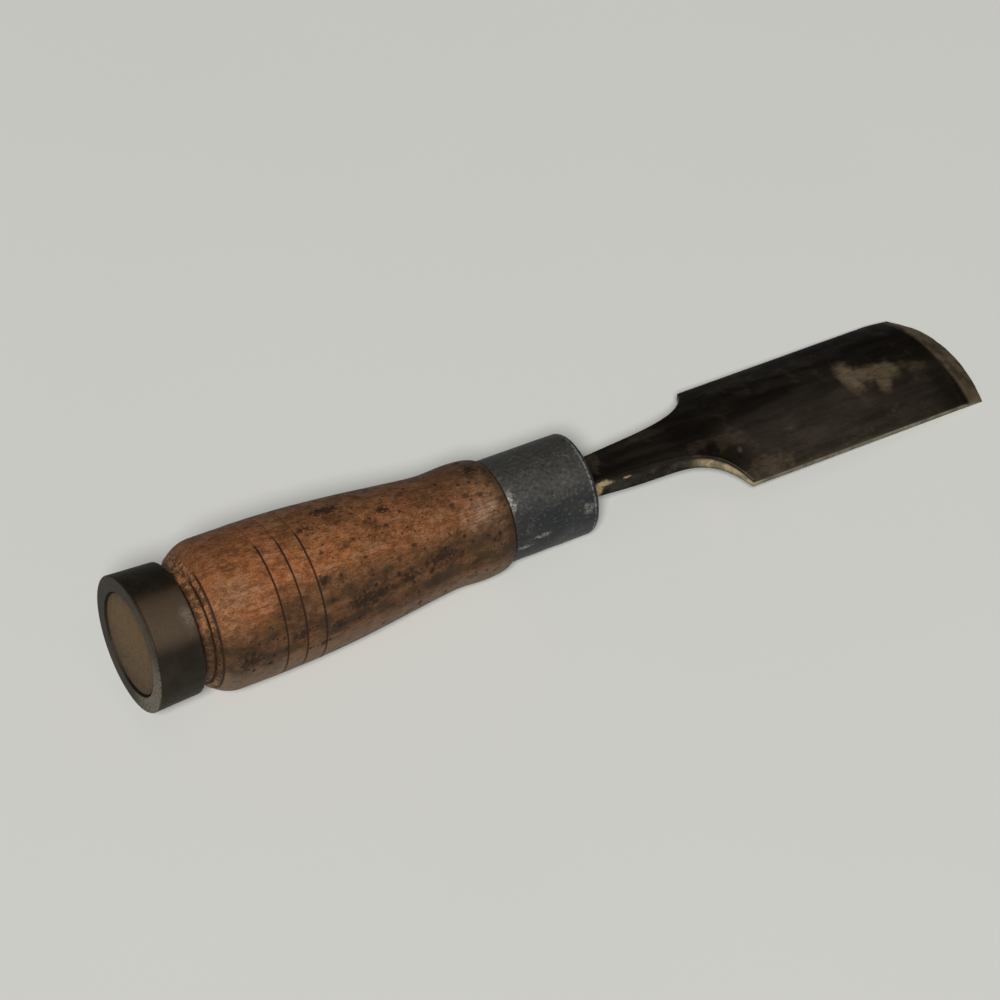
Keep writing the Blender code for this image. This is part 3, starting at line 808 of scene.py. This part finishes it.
def turned_tree():
    """Geometry tree that turns an outline round the tool's axis and wears its surface."""
    name = "Turned piece"
    if name in bpy.data.node_groups:
        return bpy.data.node_groups[name]
    tree = bpy.data.node_groups.new(name, "GeometryNodeTree")
    kinds = {
        "Outline": "NodeSocketGeometry",
        "Sides": "NodeSocketInt",
        "Wobble": "NodeSocketFloat",
        "Wobble Scale": "NodeSocketFloat",
        "Crushing": "NodeSocketFloat",
        "Crushed From": "NodeSocketFloat",
        "Crushed To": "NodeSocketFloat",
        "Crushed Scale": "NodeSocketFloat",
        "Seed": "NodeSocketFloat",
        "Material": "NodeSocketMaterial",
    }
    for label, kind in kinds.items():
        tree.interface.new_socket(label, in_out="INPUT", socket_type=kind)
    tree.interface.new_socket("Piece", in_out="OUTPUT", socket_type="NodeSocketGeometry")
    sockets = tree.nodes.new("NodeGroupInput").outputs
    given = {label: Value(tree, sockets[label]) for label in kinds}
    outline = output(tree, "GeometryNodeMeshToCurve", {"Mesh": given["Outline"]})
    circle = output(tree, "GeometryNodeCurvePrimitiveCircle", {"Resolution": given["Sides"], "Radius": 1.0})
    turn = calc(tree, "DIVIDE", output(tree, "GeometryNodeInputIndex"), given["Sides"])
    inputs = {"Geometry": circle, "Name": "turn", "Value": turn * (2.0 * math.pi)}
    around = output(tree, "GeometryNodeStoreNamedAttribute", inputs, data_type="FLOAT", domain="POINT")
    skin = output(tree, "GeometryNodeCurveToMesh", {"Curve": around, "Profile Curve": outline})
    named = {}
    for label in ("turn", "station", "reach"):
        named[label] = output(tree, "GeometryNodeInputNamedAttribute", {"Name": label}, data_type="FLOAT")
    cosine = calc(tree, "COSINE", named["turn"])
    sine = calc(tree, "SINE", named["turn"])

    def point(radius):
        """Place on the turned surface at a radius."""
        spread = {"X": named["station"], "Y": radius * cosine, "Z": radius * sine}
        return output(tree, "ShaderNodeCombineXYZ", spread)

    def relief(scale, detail):
        """Uneven height between nought and one."""
        inputs = {"Vector": point(named["reach"]), "W": given["Seed"], "Scale": scale, "Detail": detail}
        return output(tree, "ShaderNodeTexNoise", inputs, noise_dimensions="4D")

    begins = calc(tree, "GREATER_THAN", named["station"], given["Crushed From"])
    ends = calc(tree, "LESS_THAN", named["station"], given["Crushed To"])
    soft = relief(given["Wobble Scale"], 2.0) * given["Wobble"]
    rough = relief(given["Crushed Scale"], 3.0) * (begins * ends * given["Crushing"])
    worn = (soft + rough) * named["reach"].ramp(0.0, FULL_WEAR_RADIUS)
    inputs = {"Geometry": skin, "Position": point(named["reach"] - worn)}
    placed = output(tree, "GeometryNodeSetPosition", inputs)
    kept = output(tree, "GeometryNodeMergeByDistance", {"Geometry": placed, "Distance": MERGE_DISTANCE})
    for label in named:
        kept = output(tree, "GeometryNodeRemoveAttribute", {"Geometry": kept, "Name": label})
    real = output(tree, "GeometryNodeRealizeInstances", {"Geometry": kept})
    dressed = output(tree, "GeometryNodeSetMaterial", {"Geometry": real, "Material": given["Material"]})
    feed(tree, tree.nodes.new("NodeGroupOutput").inputs["Piece"], dressed)
    return tree


def outline_mesh(name, points, closed):
    """Mesh of an outline of (station, radius, grime) points, with those three as attributes."""
    mesh = bpy.data.meshes.new(name)
    edges = [(index, index + 1) for index in range(len(points) - 1)]
    if closed:
        edges.append((len(points) - 1, 0))
    mesh.from_pydata([(*point[:2], 0.0) for point in points], edges, [])
    for column, label in enumerate(("station", "reach", "grime")):
        layer = mesh.attributes.new(label, "FLOAT", "POINT")
        layer.data.foreach_set("value", [point[column] for point in points])
    return mesh


def mesh_from(name, shape):
    """Mesh of a finished shape."""
    mesh = bpy.data.meshes.new(name)
    shape.to_mesh(mesh)
    shape.free()
    return mesh


def take_mesh(piece):
    """Plain mesh of a piece with its modifiers, which are then removed."""
    bpy.context.view_layer.update()
    depsgraph = bpy.context.evaluated_depsgraph_get()
    evaluated = piece.evaluated_get(depsgraph)
    mesh = bpy.data.meshes.new_from_object(evaluated, preserve_all_data_layers=True, depsgraph=depsgraph)
    piece.modifiers.clear()
    old = piece.data
    piece.data = mesh
    bpy.data.meshes.remove(old)


def place_piece(name, mesh):
    """Put a mesh in the scene as a new piece."""
    piece = bpy.data.objects.new(name, mesh)
    bpy.context.scene.collection.objects.link(piece)
    return piece


def turn_piece(name, points, closed, sizes, material, crushing=None):
    """Piece turned from an outline by the geometry tree."""
    settings = {
        "Sides": sizes.sides,
        "Wobble": sizes.wobble,
        "Wobble Scale": sizes.wobble_scale,
        "Seed": sizes.seed,
        "Material": material,
        **(crushing or {}),
    }
    piece = place_piece(name, outline_mesh(name, points, closed))
    tree = turned_tree()
    modifier = piece.modifiers.new(tree.name, "NODES")
    modifier.node_group = tree
    for item in tree.interface.items_tree:
        if item.in_out == "INPUT" and item.name in settings:
            modifier[item.identifier] = settings[item.name]
    take_mesh(piece)
    return piece


def bridge(shape, rings):
    """Faces between each ring of points and the next."""
    for near, far in zip(rings, rings[1:]):
        for index in range(len(near)):
            following = (index + 1) % len(near)
            shape.faces.new((near[index], near[following], far[following], far[index]))


def cut_square(piece, sections):
    """Cut a square-sided tapering hole through sections of (station, half width, low, high)."""
    shape = bmesh.new()
    rings = []
    for station, half, low, high in sections:
        corners = ((-half, low), (half, low), (half, high), (-half, high))
        rings.append([shape.verts.new((station, across, up)) for across, up in corners])
    bridge(shape, rings)
    shape.faces.new(rings[0])
    shape.faces.new(rings[-1])
    bmesh.ops.recalc_face_normals(shape, faces=shape.faces[:])
    mesh = mesh_from("hole", shape)
    cutter = place_piece("hole", mesh)
    modifier = piece.modifiers.new("hole", "BOOLEAN")
    modifier.operation = "DIFFERENCE"
    modifier.solver = "EXACT"
    modifier.object = cutter
    take_mesh(piece)
    bpy.data.objects.remove(cutter)
    bpy.data.meshes.remove(mesh)


def hand_over(piece, node):
    """Close and smooth a piece, lay it on the floor and let it stand for its solid."""
    shape = bmesh.new()
    shape.from_mesh(piece.data)
    bmesh.ops.remove_doubles(shape, verts=shape.verts[:], dist=MERGE_DISTANCE)
    bmesh.ops.recalc_face_normals(shape, faces=shape.faces[:])
    shape.to_mesh(piece.data)
    shape.free()
    piece.data.shade_smooth()
    piece.data.set_sharp_from_angle(angle=SHARP_ANGLE)
    piece.data.transform(TOOL_POSE)
    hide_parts(node)
    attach(piece, "root")


def arc(centre, radius, start, end, steps):
    """Clean outline points on a circular arc, angles from the outward direction."""
    points = []
    for step in range(steps + 1):
        turn = start + (end - start) * step / steps
        points.append((centre[0] + radius * math.sin(turn), centre[1] + radius * math.cos(turn), 0.0))
    return points


def smooth_step(low, high, value):
    """Ease from 0 at low to 1 at high."""
    part = min(max((value - low) / (high - low), 0.0), 1.0)
    return part * part * (3.0 - 2.0 * part)


def ferrule_start(scene):
    """Station of the ferrule's rear rim."""
    handle = scene.gouge_handle
    wood = handle.shoulder_length + handle.belly_land + handle.belly_fall
    return scene.gouge_hoop.length + wood + handle.swell_length + handle.nose_length + handle.clearance


def nose_end_station(scene):
    """Station of the nose's end, just behind the ferrule's front wall."""
    ferrule = scene.gouge_ferrule
    return ferrule_start(scene) + ferrule.length - ferrule.front - scene.gouge_handle.clearance


def neck_hole(scene):
    """Half width, underside and top of the hole that takes the neck."""
    blade = scene.gouge_blade
    clearance = scene.gouge_handle.clearance
    low = blade.rise - blade.neck_thickness - clearance
    return blade.neck_width / 2.0 + clearance, low, blade.rise + clearance


# Handle

END_STEPS = 12
END_FLAT = 0.97
SHOULDER_STEPS = 64
LAND_STEPS = 4
FALL_STEPS = 110
LINE_STEPS = 4
NOSE_STEPS = 16
GROOVE_WIDTH = 1.6
GROOVE_DEPTH = 1.5
BEAD_START = 0.05
END_GRIME = 0.35
TENON_GRIME = 0.7
COLLAR_GRIME = 0.8
GROOVE_GRIME = 0.85
NOSE_DIRTY_FROM = 0.75
NOSE_GRIME = 0.8
CUT_OVERRUN = 0.0002


def groove(away, width, depth):
    """Depth and grime of a scribed line at a distance from its middle."""
    part = min(abs(away) / width, 1.0)
    cutting = (1.0 - part) ** 2 * (1.0 + 2.0 * part)
    return depth * cutting, cutting


def end_outline(handle, hoop):
    """Outline of the struck end and the tenon, dirtier towards the hoop."""
    points = []
    for step in range(END_STEPS + 1):
        part = step / END_STEPS
        station = handle.recess + handle.dish * part**3
        points.append((station, handle.tenon * part * END_FLAT, END_GRIME * part**8))
    points.append((handle.recess + 2.0 * handle.dish, handle.tenon, TENON_GRIME))
    points += [(hoop.length * part, handle.tenon, 1.0) for part in (0.35, 0.7)]
    points.append((hoop.length + handle.clearance, handle.tenon, 1.0))
    return points


def shoulder_outline(handle, hoop):
    """Outline of the rounded shoulder with its beads, dirty in the groove and the line."""
    collar = hoop.length + handle.clearance
    wide = handle.shoulder_round
    groove_width = GROOVE_WIDTH * handle.line_width
    groove_depth = GROOVE_DEPTH * handle.line_depth
    points = []
    for step in range(SHOULDER_STEPS + 1):
        turn = handle.shoulder_sweep * (1.0 - step / SHOULDER_STEPS)
        radius = handle.belly - wide * (1.0 - math.cos(turn))
        station = hoop.length + handle.shoulder_length - wide * math.sin(turn)
        first, first_grime = groove((turn - handle.groove_at) * wide, groove_width, groove_depth)
        second, second_grime = groove((turn - handle.line_at) * wide, handle.line_width, handle.line_depth)
        out = handle.shoulder_bead * smooth_step(handle.line_at - BEAD_START, handle.line_at, turn)
        out -= first + second
        if step == 0:
            points.append((collar, radius - handle.clearance, COLLAR_GRIME))
        at = max(station - out * math.sin(turn), collar)
        points.append((at, radius + out * math.cos(turn), max(GROOVE_GRIME * first_grime, second_grime)))
    return points


def belly_outline(handle, start):
    """Outline of the belly with its scribed lines, down to the waist."""
    end = start + handle.belly_land
    points = []
    for step in range(1, LAND_STEPS + 1):
        points.append((start + handle.belly_land * step / LAND_STEPS, handle.belly, 0.0))
    lines = [start + handle.lines_from + handle.lines_pitch * line for line in range(handle.lines)]
    stations = {end + handle.belly_fall * (step + 1) / FALL_STEPS for step in range(FALL_STEPS)}
    for line in lines:
        for step in range(-LINE_STEPS, LINE_STEPS + 1):
            stations.add(line + handle.line_width * step / LINE_STEPS)
    for at in sorted(stations):
        part = min((at - end) / handle.belly_fall, 1.0)
        fall = max(1.0 - part**handle.belly_fullness, 0.0) ** handle.waist_sharpness
        radius = handle.waist + (handle.belly - handle.waist) * fall
        cuts = [groove(at - line, handle.line_width, handle.line_depth) for line in lines]
        depth, grime = max(cuts, default=(0.0, 0.0))
        points.append((at, radius - depth, grime))
    return points


def nose_outline(handle, start, nose_end):
    """Outline from the waist over the swell to the end of the nose, dirty beside the ferrule."""
    points = []
    for step in range(1, NOSE_STEPS + 1):
        part = step / NOSE_STEPS
        rise = (handle.swell - handle.waist) * smooth_step(0.0, 1.0, part)
        points.append((start + handle.swell_length * part, handle.waist + rise, 0.0))
    swell_at = start + handle.swell_length
    for step in range(1, NOSE_STEPS + 1):
        turn = QUARTER * step / NOSE_STEPS
        fall = handle.nose_drop * (1.0 - math.cos(turn))
        reach = handle.nose_length * math.sin(turn)
        grime = smooth_step(NOSE_DIRTY_FROM, 1.0, step / NOSE_STEPS) * NOSE_GRIME
        points.append((swell_at + reach, handle.swell - fall, grime))
    nose_at = swell_at + handle.nose_length
    return points + [(nose_at, handle.nose, 1.0), (nose_end, handle.nose, 1.0), (nose_end, 0.0, 1.0)]


class GOUGE_OT_handle(Operator):
    """Make the turned wooden handle"""

    bl_idname = "gouge.handle"
    bl_label = "Handle"

    def execute(self, context):
        scene = context.scene
        handle = scene.gouge_handle
        hoop = scene.gouge_hoop
        blade = scene.gouge_blade
        nose_end = nose_end_station(scene)
        belly_at = hoop.length + handle.shoulder_length
        waist_at = belly_at + handle.belly_land + handle.belly_fall
        points = end_outline(handle, hoop) + shoulder_outline(handle, hoop)
        points += belly_outline(handle, belly_at) + nose_outline(handle, waist_at, nose_end)
        crushing = {
            "Crushing": handle.crushing,
            "Crushed From": hoop.length,
            "Crushed To": hoop.length + handle.crushed_length,
            "Crushed Scale": handle.crushed_scale,
        }
        wood = wood_finish(scene.gouge_finishes)
        piece = turn_piece("turned_handle", points, False, handle, wood, crushing)
        tip = blade.tang_tip / 2.0 + handle.clearance
        sections = (
            (nose_end - blade.tang_length - handle.clearance, tip, -tip, tip),
            (nose_end, *neck_hole(scene)),
            (nose_end + CUT_OVERRUN, *neck_hole(scene)),
        )
        cut_square(piece, sections)
        hand_over(piece, "handle")
        return {"FINISHED"}


# Hoop

HOOP_STEPS = 24
HOOP_GRIME = 0.9


class GOUGE_OT_hoop(Operator):
    """Make the steel hoop round the struck end"""

    bl_idname = "gouge.hoop"
    bl_label = "Striking hoop"

    def execute(self, context):
        scene = context.scene
        hoop = scene.gouge_hoop
        inner = scene.gouge_handle.tenon + scene.gouge_handle.clearance
        outer = inner + hoop.wall
        rear = (hoop.rounding, outer - hoop.rounding)
        front = (hoop.length - hoop.rounding, outer - hoop.taper - hoop.rounding)
        points = [(3.0 * RIM, inner, 1.0), (RIM, inner + RIM, HOOP_GRIME), (0.0, inner + 2.0 * RIM, 0.0)]
        for step in range(1, RIM_STEPS - 1):
            points.append((0.0, inner + (outer - inner) * step / RIM_STEPS, 0.0))
        points += arc(rear, hoop.rounding, -QUARTER, 0.0, RIM_STEPS)
        for step in range(1, HOOP_STEPS):
            part = step / HOOP_STEPS
            points.append((hoop.length * part, outer - hoop.taper * part, 0.0))
        points += arc(front, hoop.rounding, 0.0, QUARTER, RIM_STEPS)
        points += [(hoop.length, inner, 1.0), (hoop.length / 2.0, inner, 1.0)]
        piece = turn_piece("steel_hoop", points, True, hoop, hoop_finish(scene.gouge_finishes))
        hand_over(piece, "striking_hoop")
        return {"FINISHED"}


# Ferrule

FERRULE_STEPS = 40
FERRULE_GRIME = 0.4
FRONT_STEPS = 10


class GOUGE_OT_ferrule(Operator):
    """Make the iron ferrule round the handle's nose"""

    bl_idname = "gouge.ferrule"
    bl_label = "Ferrule"

    def execute(self, context):
        scene = context.scene
        handle = scene.gouge_handle
        ferrule = scene.gouge_ferrule
        start = ferrule_start(scene)
        end = start + ferrule.length
        wall = end - ferrule.front
        inner = handle.nose + handle.clearance
        outer = inner + ferrule.wall
        side = start + 3.0 * RIM
        centre = (end - ferrule.rounding, outer - ferrule.taper - ferrule.rounding)
        points = [(wall, 0.0, 1.0), (wall, inner, 1.0), (start, inner, 1.0)]
        points.append((start, outer - 3.0 * RIM, FERRULE_GRIME))
        points += [(start + RIM, outer - RIM, 0.0), (side, outer, 0.0)]
        for step in range(1, FERRULE_STEPS):
            part = step / FERRULE_STEPS
            points.append((side + (centre[0] - side) * part, outer - ferrule.taper * part, 0.0))
        points += arc(centre, ferrule.rounding, 0.0, QUARTER, FRONT_STEPS)
        points += [(end, centre[1] * (1.0 - step / FRONT_STEPS), 0.0) for step in range(1, FRONT_STEPS + 1)]
        piece = turn_piece("iron_ferrule", points, False, ferrule, ferrule_finish(scene.gouge_finishes))
        margin = ferrule.front / 2.0
        cut_square(piece, ((wall - margin, *neck_hole(scene)), (end + margin, *neck_hole(scene))))
        hand_over(piece, "ferrule")
        return {"FINISHED"}


# Blade

ACROSS_STEPS = 44
ROUND_STEPS = 4
NECK_STEPS = 60
PLATE_STEPS = 90
BEVEL_STEPS = 12
TANG_STEPS = 8
ROUND_LIMIT = 0.3
UNGROUND = -10.0
PIT_PLACE = (0.1648, -0.0107)
PIT_REACH = 0.0009
NICK_SCALE = 420.0
NICK_PLACE = (3.7, 1.1)
WAVE_SCALE = 140.0
RIPPLE_SCALE = 600.0
RIPPLE_SHARE = 0.25


def sag(blade, rise, across):
    """Drop of the blade's arch at a distance from its middle, for its rise at the sides."""
    half = blade.width / 2.0
    radius = (rise * rise + half * half) / (2.0 * rise)
    return radius - math.sqrt(radius * radius - across * across)


def edge_station(blade, edge_at, across):
    """Station of the cutting edge, with its small nicks."""
    worn = (across - blade.edge_crest) ** 2 / (2.0 * blade.edge_arc)
    nick = max(noise.noise(Vector((across * NICK_SCALE, *NICK_PLACE))), 0.0) * blade.nicks
    return edge_at - worn - nick


def across_places(half, rounding):
    """Distances from the middle at which the forging is drawn, close together at the sides."""
    sides = [rounding * (1.0 - math.cos(QUARTER * step / ROUND_STEPS)) for step in range(ROUND_STEPS)]
    land = half - rounding
    inner = [land * (2.0 * step / ACROSS_STEPS - 1.0) for step in range(ACROSS_STEPS + 1)]
    return [-half + away for away in sides] + inner + [half - away for away in reversed(sides)]


def rounded(across, half, rounding):
    """Drop of a rounded arris at a distance from the middle."""
    inside = rounding - (half - abs(across))
    if inside <= 0.0:
        return 0.0
    return rounding - math.sqrt(max(rounding * rounding - inside * inside, 0.0))


def forging_loop(blade, half, top, under, curl, station, thin=False):
    """Points round the forging at one station: along its top, then back along its underside."""
    crown = blade.thickness + blade.hollow - blade.side
    upper = []
    lower = []
    for across in across_places(half, blade.side_round):
        low = under - curl * sag(blade, blade.hollow, across)
        high = top - curl * sag(blade, crown, across)
        if thin:
            high = low + blade.edge_thickness
        limit = ROUND_LIMIT * (high - low)
        turned_in = rounded(across, half, blade.side_round) / blade.side_round
        drop = turned_in * min(blade.side_round, limit)
        lift = turned_in * min(blade.under_round, limit)
        upper.append(Vector((station(across), across, high - drop)))
        lower.append(Vector((station(across), across, low + lift)))
    return upper + lower[::-1]


def neck_curve(blade, start, part):
    """Station and half width of the neck, from the ferrule to the corner of the plate."""
    first = Vector((start, blade.neck_width / 2.0))
    last = Vector((start + blade.neck_length, blade.width / 2.0))
    leave = first + Vector((blade.neck_flare, blade.neck_spread))
    arrive = last - Vector((blade.sweep_length, blade.sweep_drop))
    rest = 1.0 - part
    curve = rest**3 * first + 3.0 * rest * rest * part * leave
    return curve + 3.0 * rest * part * part * arrive + part**3 * last


def worn_corner(blade, loop, bevel_at):
    """Loop whose far side is worn in towards the cutting edge."""
    half = blade.width / 2.0
    worn = []
    for point in loop:
        along = smooth_step(bevel_at - blade.corner_wear_length, bevel_at + blade.bevel / 2.0, point.x)
        beside = smooth_step(half / 2.0, half, point.y)
        worn.append(point - Vector((0.0, blade.corner_wear * along * beside, 0.0)))
    return worn


def forging_loops(blade, neck_at, nose_end):
    """All loops round the forging, from the tip of the tang to the cutting edge, with their grinding."""
    tip = blade.tang_tip / 2.0
    top = blade.rise
    neck_under = top - blade.neck_thickness
    plate_under = top - blade.thickness
    plate_at = neck_at + blade.neck_length
    edge_at = plate_at + blade.plate_length
    bevel_at = edge_at - blade.bevel
    half = blade.width / 2.0

    def plate_loop(station, thin=False):
        """Loop round the plate."""
        return forging_loop(blade, half, top, plate_under, 1.0, station, thin)

    loops = []
    for step in range(TANG_STEPS + 1):
        part = step / TANG_STEPS
        at = nose_end - blade.tang_length * (1.0 - part)
        wide = tip + (blade.neck_width / 2.0 - tip) * part
        high = tip + (top - tip) * part
        low = -tip + (neck_under + tip) * part
        loops.append((forging_loop(blade, wide, high, low, 0.0, lambda across: at), UNGROUND))
    for step in range(NECK_STEPS + 1):
        part = step / NECK_STEPS
        at, wide = neck_curve(blade, neck_at, part)
        low = neck_under + (plate_under - neck_under) * smooth_step(blade.thins_from, blade.thins_to, part)
        curl = smooth_step(blade.arches_from, blade.arches_to, part)
        loops.append((forging_loop(blade, wide, top, low, curl, lambda across: at), UNGROUND))
    for step in range(1, PLATE_STEPS + 1):
        at = plate_at + (bevel_at - plate_at) * step / PLATE_STEPS
        if step == PLATE_STEPS:
            at -= blade.edge_thickness
        loop = plate_loop(lambda across: at)
        loops.append((worn_corner(blade, loop, bevel_at), (at - bevel_at) / blade.bevel))
    first = plate_loop(lambda across: bevel_at)
    last = plate_loop(lambda across: edge_station(blade, edge_at, across), thin=True)
    for step in range(BEVEL_STEPS + 1):
        part = step / BEVEL_STEPS
        loop = [near.lerp(far, part) for near, far in zip(first, last)]
        loops.append((worn_corner(blade, loop, bevel_at), part))
    return loops


def hammered(blade, point, inward):
    """Point moved into the steel by the unevenness of the forging and by its pit."""
    waves = 0.5 + 0.5 * noise.noise(point * WAVE_SCALE)
    ripples = 0.5 + 0.5 * noise.noise(point * RIPPLE_SCALE)
    away = math.hypot(point.x - PIT_PLACE[0], point.y - PIT_PLACE[1]) / PIT_REACH
    pit = blade.pit * max(1.0 - away * away, 0.0) if inward < 0.0 else 0.0
    depth = blade.hammering * ((1.0 - RIPPLE_SHARE) * waves + RIPPLE_SHARE * ripples) + pit
    return point + Vector((0.0, 0.0, inward * depth))


class GOUGE_OT_blade(Operator):
    """Make the forged blade with its neck and tang"""

    bl_idname = "gouge.blade"
    bl_label = "Blade"

    def execute(self, context):
        scene = context.scene
        blade = scene.gouge_blade
        neck_at = ferrule_start(scene) + scene.gouge_ferrule.length
        loops = forging_loops(blade, neck_at, nose_end_station(scene))
        count = len(loops[0][0])
        shape = bmesh.new()
        wall_layer = shape.verts.layers.float.new("wall")
        ground_layer = shape.verts.layers.float.new("ground")
        rings = []
        for points, grinding in loops:
            ring = []
            for index, point in enumerate(points):
                top = index < count // 2
                forged = point.x > neck_at and grinding < 0.0
                place = hammered(blade, point, -1.0 if top else 1.0) if forged else point
                vert = shape.verts.new(place)
                rank = index if top else count - 1 - index
                beside = min(rank, count // 2 - 1 - rank)
                vert[wall_layer] = -min(beside, 1) if top else 1.0 + min(beside, 1)
                vert[ground_layer] = grinding if top else UNGROUND
                ring.append(vert)
            rings.append(ring)
        bridge(shape, rings)
        for ring in (rings[0], rings[-1]):
            for index in range(count // 2 - 1):
                opposite = count - 1 - index
                shape.faces.new((ring[index], ring[index + 1], ring[opposite - 1], ring[opposite]))
        mesh = mesh_from("forged_blade", shape)
        mesh.materials.append(blade_finish(scene.gouge_finishes))
        piece = place_piece("forged_blade", mesh)
        hand_over(piece, "blade")
        return {"FINISHED"}


# Stage

FLOOR_SQUARES = 8
EVEN_LIGHT = (1.0, 1.0, 0.98, 1.0)
CLIP_START = 0.01


def look_from(azimuth, elevation, roll):
    """Turn of a camera that looks down at an elevation from an azimuth."""
    down = Matrix.Rotation(QUARTER - elevation, 4, "X")
    return Matrix.Rotation(azimuth, 4, "Z") @ down @ Matrix.Rotation(-roll, 4, "Z")


def add_light(name, place, aim, size, power):
    """Large soft light pointed at the tool."""
    light = bpy.data.lights.new(name, "AREA")
    light.shape = "DISK"
    light.size = size
    light.energy = power
    lamp = bpy.data.objects.new(name, light)
    lamp.location = place
    lamp.rotation_euler = (Vector(aim) - Vector(place)).to_track_quat("-Z", "Y").to_euler()
    bpy.context.scene.collection.objects.link(lamp)


class GOUGE_OT_stage(Operator):
    """Make the floor, the soft light and the camera"""

    bl_idname = "gouge.stage"
    bl_label = "Stage"

    def execute(self, context):
        scene = context.scene
        stage = scene.gouge_stage
        shape = bmesh.new()
        size = stage.floor_size / 2.0
        bmesh.ops.create_grid(shape, x_segments=FLOOR_SQUARES, y_segments=FLOOR_SQUARES, size=size)
        mesh = mesh_from("floor", shape)
        mesh.materials.append(floor_finish(scene.gouge_finishes))
        place_piece("floor", mesh)
        world = bpy.data.worlds.new("even_light")
        world.use_nodes = True
        even = world.node_tree.nodes["Background"]
        even.inputs["Color"].default_value = EVEN_LIGHT
        even.inputs["Strength"].default_value = stage.sky
        scene.world = world
        add_light("key", stage.key_place, stage.aim, stage.key_size, stage.key)
        camera = bpy.data.cameras.new("camera")
        camera.lens = stage.lens
        camera.clip_start = CLIP_START
        view = bpy.data.objects.new("camera", camera)
        turn = look_from(stage.azimuth, stage.elevation, stage.roll)
        eye = Vector(stage.aim) + turn @ Vector((0.0, 0.0, stage.distance))
        view.matrix_world = Matrix.Translation(eye) @ turn
        scene.collection.objects.link(view)
        scene.camera = view
        scene.view_settings.view_transform = "Standard"
        return {"FINISHED"}


class GOUGE_PT_panel(Panel):
    """Lists the pieces that can be made"""

    bl_idname = "GOUGE_PT_panel"
    bl_label = "Gouge"
    bl_space_type = "VIEW_3D"
    bl_region_type = "UI"
    bl_category = "Gouge"

    def draw(self, context):
        for operator in OPERATORS:
            self.layout.operator(operator.bl_idname)


SETTINGS = {
    "gouge_handle": HandleSizes,
    "gouge_hoop": HoopSizes,
    "gouge_ferrule": FerruleSizes,
    "gouge_blade": BladeSizes,
    "gouge_finishes": Finishes,
    "gouge_stage": StageSettings,
}
OPERATORS = (GOUGE_OT_handle, GOUGE_OT_hoop, GOUGE_OT_ferrule, GOUGE_OT_blade, GOUGE_OT_stage)
CLASSES = (*SETTINGS.values(), *OPERATORS, GOUGE_PT_panel)


def register():
    """Add the settings, the operators and the panel."""
    for item in CLASSES:
        bpy.utils.register_class(item)
    for name, group in SETTINGS.items():
        setattr(bpy.types.Scene, name, PointerProperty(type=group))


def unregister():
    """Take them away again."""
    for name in SETTINGS:
        delattr(bpy.types.Scene, name)
    for item in reversed(CLASSES):
        bpy.utils.unregister_class(item)


def main():
    """Make every piece and the stage."""
    register()
    bpy.ops.gouge.handle()
    bpy.ops.gouge.hoop()
    bpy.ops.gouge.ferrule()
    bpy.ops.gouge.blade()
    bpy.ops.gouge.stage()


if __name__ == "__main__":
    main()
